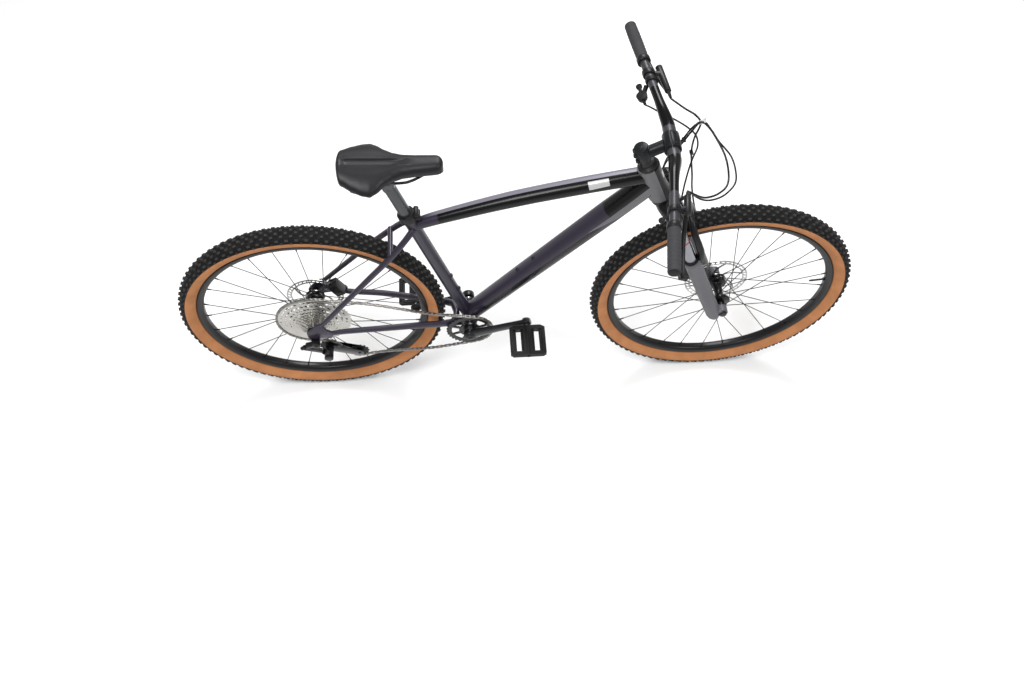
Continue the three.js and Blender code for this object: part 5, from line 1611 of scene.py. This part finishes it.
@dataclass
class Cockpit:
    """Headset, stem, bar, grips, brakes, shifter, lockout remote and their lines."""

    bar_centre: tuple[float, float] = (70.0, 664.0)
    bar_end: tuple[float, float] = (28.0, 701.0)
    bar_half: float = 380.0
    grip_start: float = 250.0

    def bar_at(self, y: float) -> Vector:
        """The bar's centre so far across the bike."""
        reach = abs(y)
        (u, w), (end_u, end_w) = self.bar_centre, self.bar_end
        sweep = min(1.0, max(0.0, (reach - 60) / (self.bar_half - 60)))
        rise = smooth_step(reach, 40, 110)
        return STEER.at(u + (end_u - u) * sweep, y, w + 14 * rise + (end_w - w - 14) * sweep)

    def bar_radius(self, y: float) -> float:
        """The bar's radius, which is largest in the stem."""
        return 15.9 - 4.8 * smooth_step(abs(y), 45, 140)

    def handlebar(self) -> None:
        """The bar, glossy in its middle stretch."""
        end = int(self.bar_half - 2)
        rows = [(self.bar_at(y), self.bar_radius(y), self.bar_radius(y)) for y in range(-end, end + 1,
                                                                                        14)]
        bar = Shape().loft(rows, 32, 2.0, 1, vec(1, 0, 0))
        bar.done("handlebar_tube", "steering", BAR_PAINT, ["handlebar"])

    def grip(self, side: Side) -> None:
        """A knurled grip with its lock collar and end plug."""
        sign = side.value
        rows = []
        for step in range(33):
            y = self.grip_start + 12 + (self.bar_half - self.grip_start - 14) * step / 32
            ribs = 0.35 * math.sin(step * 2.1)
            swell = 0.6 * math.sin(step / 32 * math.pi)
            radius = 14.6 + swell + ribs
            if step == 32:
                radius = 14.0
            rows.append((self.bar_at(sign * y), radius, radius))
        shape = Shape().loft(rows, 32, 2.0, 2, vec(1, 0, 0))
        shape.done(f"{side.word}_grip_sleeve", "steering", GRIP, [f"{side.word}_grip"])
        one, two = self.bar_at(sign * 248.5), self.bar_at(sign * 263)
        collar = Shape().turned([(12, 0), (16.2, 0), (16.8, 0.8), (16.8, 13.4), (16.2, 14.4),
                                 (12, 14.4)],
                                one, two, 40)
        collar.done(f"{side.word}_grip_collar", "steering", BLACK)
        plug = Shape().rod(self.bar_at(sign * 376), self.bar_at(sign * 379), 13.4, 11.6, 32, 0.8)
        plug.done(f"{side.word}_bar_plug", "steering", PLASTIC)

    def stem(self) -> None:
        """The stem, faceplate, spacers, top cap and their bolts."""
        Shape().turned([(14.9, 0.3), (25, 0.3), (25, 1.6), (24, 6), (18.5, 10), (17.8, 10.6), (17.8, 24),
                        (14.9, 24)], STEER.at(0, 0, 613.3), STEER.at(0, 0, 614.3), 48).done(
            "headset_cover", "steering", BLACK, ["headset_spacers"])
        Shape().taken("stem", 1.4).done("stem_body", "steering", DARK_METAL, ["stem"])
        Shape().taken("stem_faceplate", 1.2).done("faceplate_body", "steering", DARK_METAL,
                                                  ["stem_faceplate"])
        bolts = Shape()
        ahead = vec(STEER.up.z, 0, -STEER.up.x)
        for y in (-17, 17):
            for rise in (-15.5, 15.5):
                spot = STEER.at(self.bar_centre[0] + 12.4, y, self.bar_centre[1] + rise)
                Frameset.bolt(bolts, spot, ahead, 3.6, 2.6)
        for rise in (10, 30):
            for sign in (-1, 1):
                lug, out = STEER.at(-17, sign * 3, 638 + rise), vec(0, sign, 0)
                bolts.rod(lug, lug + out * 9, 5.4, sides=24, bevel=0.8)
                Frameset.bolt(bolts, lug + out * 9, out, 4.0, 2.6)
        bolts.done("stem_bolts", "steering", BLACK)
        cap = Shape().rod(STEER.at(0, 0, 681), STEER.at(0, 0, 682.6), 17, 16, 40, 0.5)
        Frameset.bolt(cap, STEER.at(0, 0, 682.5), STEER.up, 4.2, 1.0)
        cap.done("stem_top_cap", "steering", BLACK)

    def controls(self) -> None:
        """Brake masters and levers, the shifter and the lockout remote."""
        pieces = {
            "right_brake_master": ("steering", BLACK), "left_brake_master": ("steering", BLACK),
            "right_brake_lever": ("right_brake_lever", BLACK),
            "left_brake_lever": ("left_brake_lever", BLACK),
            "shifter": ("steering", PLASTIC), "shift_lever": ("shift_lever", PLASTIC),
            "release_lever": ("release_lever", PLASTIC), "lockout_remote": ("steering", PLASTIC),
            "lockout_lever": ("lockout_lever", PLASTIC),
        }
        for node, (body, finish) in pieces.items():
            Shape().taken(node, 0.9).done(f"{node}_body", body, finish, [node])
        bolts = Shape()
        for side in SIDES:
            spot = self.bar_at(side.value * 210)
            ahead = vec(STEER.up.z, 0, -STEER.up.x)
            Frameset.bolt(bolts, spot + ahead * 12 + STEER.up * 10, STEER.up, 2.8, 2.4)
        bolts.done("master_clamp_bolts", "steering", BLACK)

    def bar_offset(self, sign: int, y: float, u: float, w: float) -> Vector:
        """A point beside the bar, forward by u and up by w."""
        return self.bar_at(sign * y) + vec(STEER.up.z, 0, -STEER.up.x) * u + STEER.up * w

    def lines(self) -> None:
        """The hoses and cables that are held at both ends, with the tie and clips that gather them."""
        routes: dict[str, tuple[Vector, float, tuple[Point, ...]]] = {
            "rear_brake_hose": (self.bar_offset(-1, 157, 28, -10), 2.5, (
                (104, -156, 645), (119, -148, 622), (143, -130, 600), (166, -106, 589), (176, -72, 588),
                (178, -30, 602), (168, 10, 627), (158, 30, 648), (144, 40, 660), (119, 35, 645),
                (92, 30, 623), (70, 28, 605), (52, 26, 592), (36, 24, 574), (25, 21, 560))),
            "gear_cable": (self.bar_offset(-1, 145.9, 31, -33), 2.2, (
                (103, -143, 618), (124, -139, 597), (154, -120, 576), (183, -91, 568), (192, -60, 573),
                (190, -25, 590), (172, 6, 616), (163, 28, 634), (150, 47, 652), (124, 43, 649),
                (95, 37, 627), (73, 34.5, 608), (55, 33, 595), (39, 31, 576), (27, 27, 558))),
            "front_brake_hose": (self.bar_offset(1, 126, 28, -10), 2.5, (
                (116, 85, 671), (136, 62, 664), (142, 54, 640), (118, 53, 600), (102, 53, 560),
                (92, 55, 515), (82, 60, 460), (70, 71, 400), (60, 81, 330), (50, 89, 240), (38, 93, 170),
                (16, 94, 130), (-6, 90, 112), (-20, 78, 96), (-28, 67, 84), (-30, 60.4, 78))),
            "lockout_cable": (self.bar_offset(1, 136.5, -34, -15), 2.2, (
                (38, 126, 665), (57, 105, 661), (85, 80, 652), (110, 58, 636), (124, 40, 620),
                (121, 24, 600), (103, 5, 586), (86, -12, 568), (66, -32, 540), (48, -52, 512),
                (34.5, -62, 501))),
        }
        for name, (start, radius, points) in routes.items():
            line = [start, *[STEER.at(*point) for point in points]]
            Shape().strand(line, radius, 14, 6).done(f"{name}_line", "steering", HOSE, [name])
        tie = Shape()
        apex = STEER.at(149, 42, 657)
        tie.block(apex, (15, 13, 3.4), Matrix.Rotation(math.radians(-35), 4, "Y"), 1.2)
        tie.block(apex + vec(5, 2, 7), (1.4, 2.4, 10), Matrix.Rotation(math.radians(24), 4, "Y"), 0.4)
        tie.done("line_tie", "steering", CLEAR_TIE)
        clips = Shape()
        for place in ((100, 48, 557), (95, 34, 625)):
            clips.block(STEER.at(*place), (9, 13, 7), STEER_TURN, 1.6)
        clips.done("line_clips", "steering", BLACK)

    def build(self) -> None:
        """Builds the cockpit."""
        self.handlebar()
        for side in SIDES:
            self.grip(side)
        self.stem()
        self.controls()
        self.lines()


@dataclass(frozen=True)
class BarPaint(Finish):
    """Satin bar, with a glossy stretch on each side of the stem."""

    def tint(self, tree: Tree) -> Value:
        """Darker where it is glossy."""
        glossy = tree.y.size().within(0.045, 0.16, 0.001)
        return tree.mix(glossy, Finish.tint(self, tree), BLACK_PANEL)

    def gloss(self, tree: Tree) -> Value:
        """Smoother where it is glossy."""
        return Finish.gloss(self, tree) - tree.y.size().within(0.045, 0.16, 0.001) * 0.18


BAR_PAINT = BarPaint("bar_paint", srgb(58, 58, 62), 0.38, 0.3, 0.1, 0.15, 16.0, 0.04, 1600.0,
                     slot="anodised")
STEER_TURN = Matrix.Rotation(math.radians(-21.5), 4, "Y")


@dataclass(frozen=True)
class FloorFinish(Finish):
    """A plain pale floor."""

    def gloss(self, tree: Tree) -> Value:
        """An even, slightly soft sheen."""
        return tree.noise(3.0, 2.0) * 0.06 + self.rough


@dataclass
class Stage:
    """The floor, the soft lights and the camera."""

    camera_place: Point = (-0.12133, -1.57751, 2.74240)
    camera_right: Point = (0.99806079, -0.06218672, 0.00273455)
    camera_up: Point = (0.0516834, 0.85237108, 0.52037714)
    camera_back: Point = (-0.0346914, -0.51922668, 0.85393217)
    lens: float = 35.297
    floor_half: float = 12.0
    world_light: float = 0.5

    def floor(self) -> None:
        """A wide floor."""
        bm = bmesh.new()
        bmesh.ops.create_grid(bm, x_segments=1, y_segments=1, size=self.floor_half)
        mesh = bpy.data.meshes.new("floor")
        bm.to_mesh(mesh)
        bm.free()
        mesh.materials.append(FloorFinish("floor_pale", srgb(243, 243, 243), 0.6, drift=0.015,
                                          drift_scale=0.8, grain=0.0).material())
        floor = bpy.data.objects.new("floor", mesh)
        bpy.context.scene.collection.objects.link(floor)

    def light(self, name: str, place: Point, size: float, power: float) -> None:
        """A square soft light that looks at the middle of the bike."""
        data = bpy.data.lights.new(name, "AREA")
        data.energy = power
        data.size = size
        lamp = bpy.data.objects.new(name, data)
        lamp.location = place
        aim = vec(0, 0, 0.5) - vec(*place)
        lamp.rotation_euler = aim.to_track_quat("-Z", "Y").to_euler()
        bpy.context.scene.collection.objects.link(lamp)

    def camera(self) -> None:
        """The camera."""
        data = bpy.data.cameras.new("camera")
        data.sensor_width = 36.0
        data.lens = self.lens
        camera = bpy.data.objects.new("camera", data)
        axes = Matrix((self.camera_right, self.camera_up, self.camera_back)).transposed()
        camera.matrix_world = Matrix.Translation(self.camera_place) @ axes.to_4x4()
        bpy.context.scene.collection.objects.link(camera)
        bpy.context.scene.camera = camera

    def build(self) -> None:
        """Sets the stage."""
        self.camera()
        self.floor()
        bpy.context.scene.view_settings.view_transform = "Standard"
        world = bpy.data.worlds.new("studio")
        world.use_nodes = True
        background = world.node_tree.nodes["Background"]
        background.inputs["Color"].default_value = (1.0, 1.0, 1.0, 1.0)
        background.inputs["Strength"].default_value = self.world_light
        bpy.context.scene.world = world
        self.light("key", (-1.2, -1.0, 3.8), 1.6, 95.0)
        self.light("fill", (2.2, -1.4, 3.0), 1.2, 40.0)
        self.light("back", (0.4, 2.2, 3.2), 1.4, 75.0)


REAR_WHEEL = Wheel("rear", REAR_AXLE, (-24.8, 73.6), 35, -19, 13, 28, 6.6, 50.7, 80, 52)
FRONT_WHEEL = Wheel("front", FRONT_AXLE, (-54.5, 54.5), 27, -33, 13, 27, 8.1, 38.7, 90, 40)


def main() -> None:
    """Builds the bike."""
    Stage().build()
    for part in (Frameset(), FRONT_WHEEL, REAR_WHEEL, Cassette(), Chain(), Cranks(), Derailleur(),
                 Seat(),
                 Fork(), Cockpit()):
        part.build()
        LOG.info("%s done", type(part).__name__)


if __name__ == "__main__":
    logging.basicConfig(level=logging.INFO)
    main()
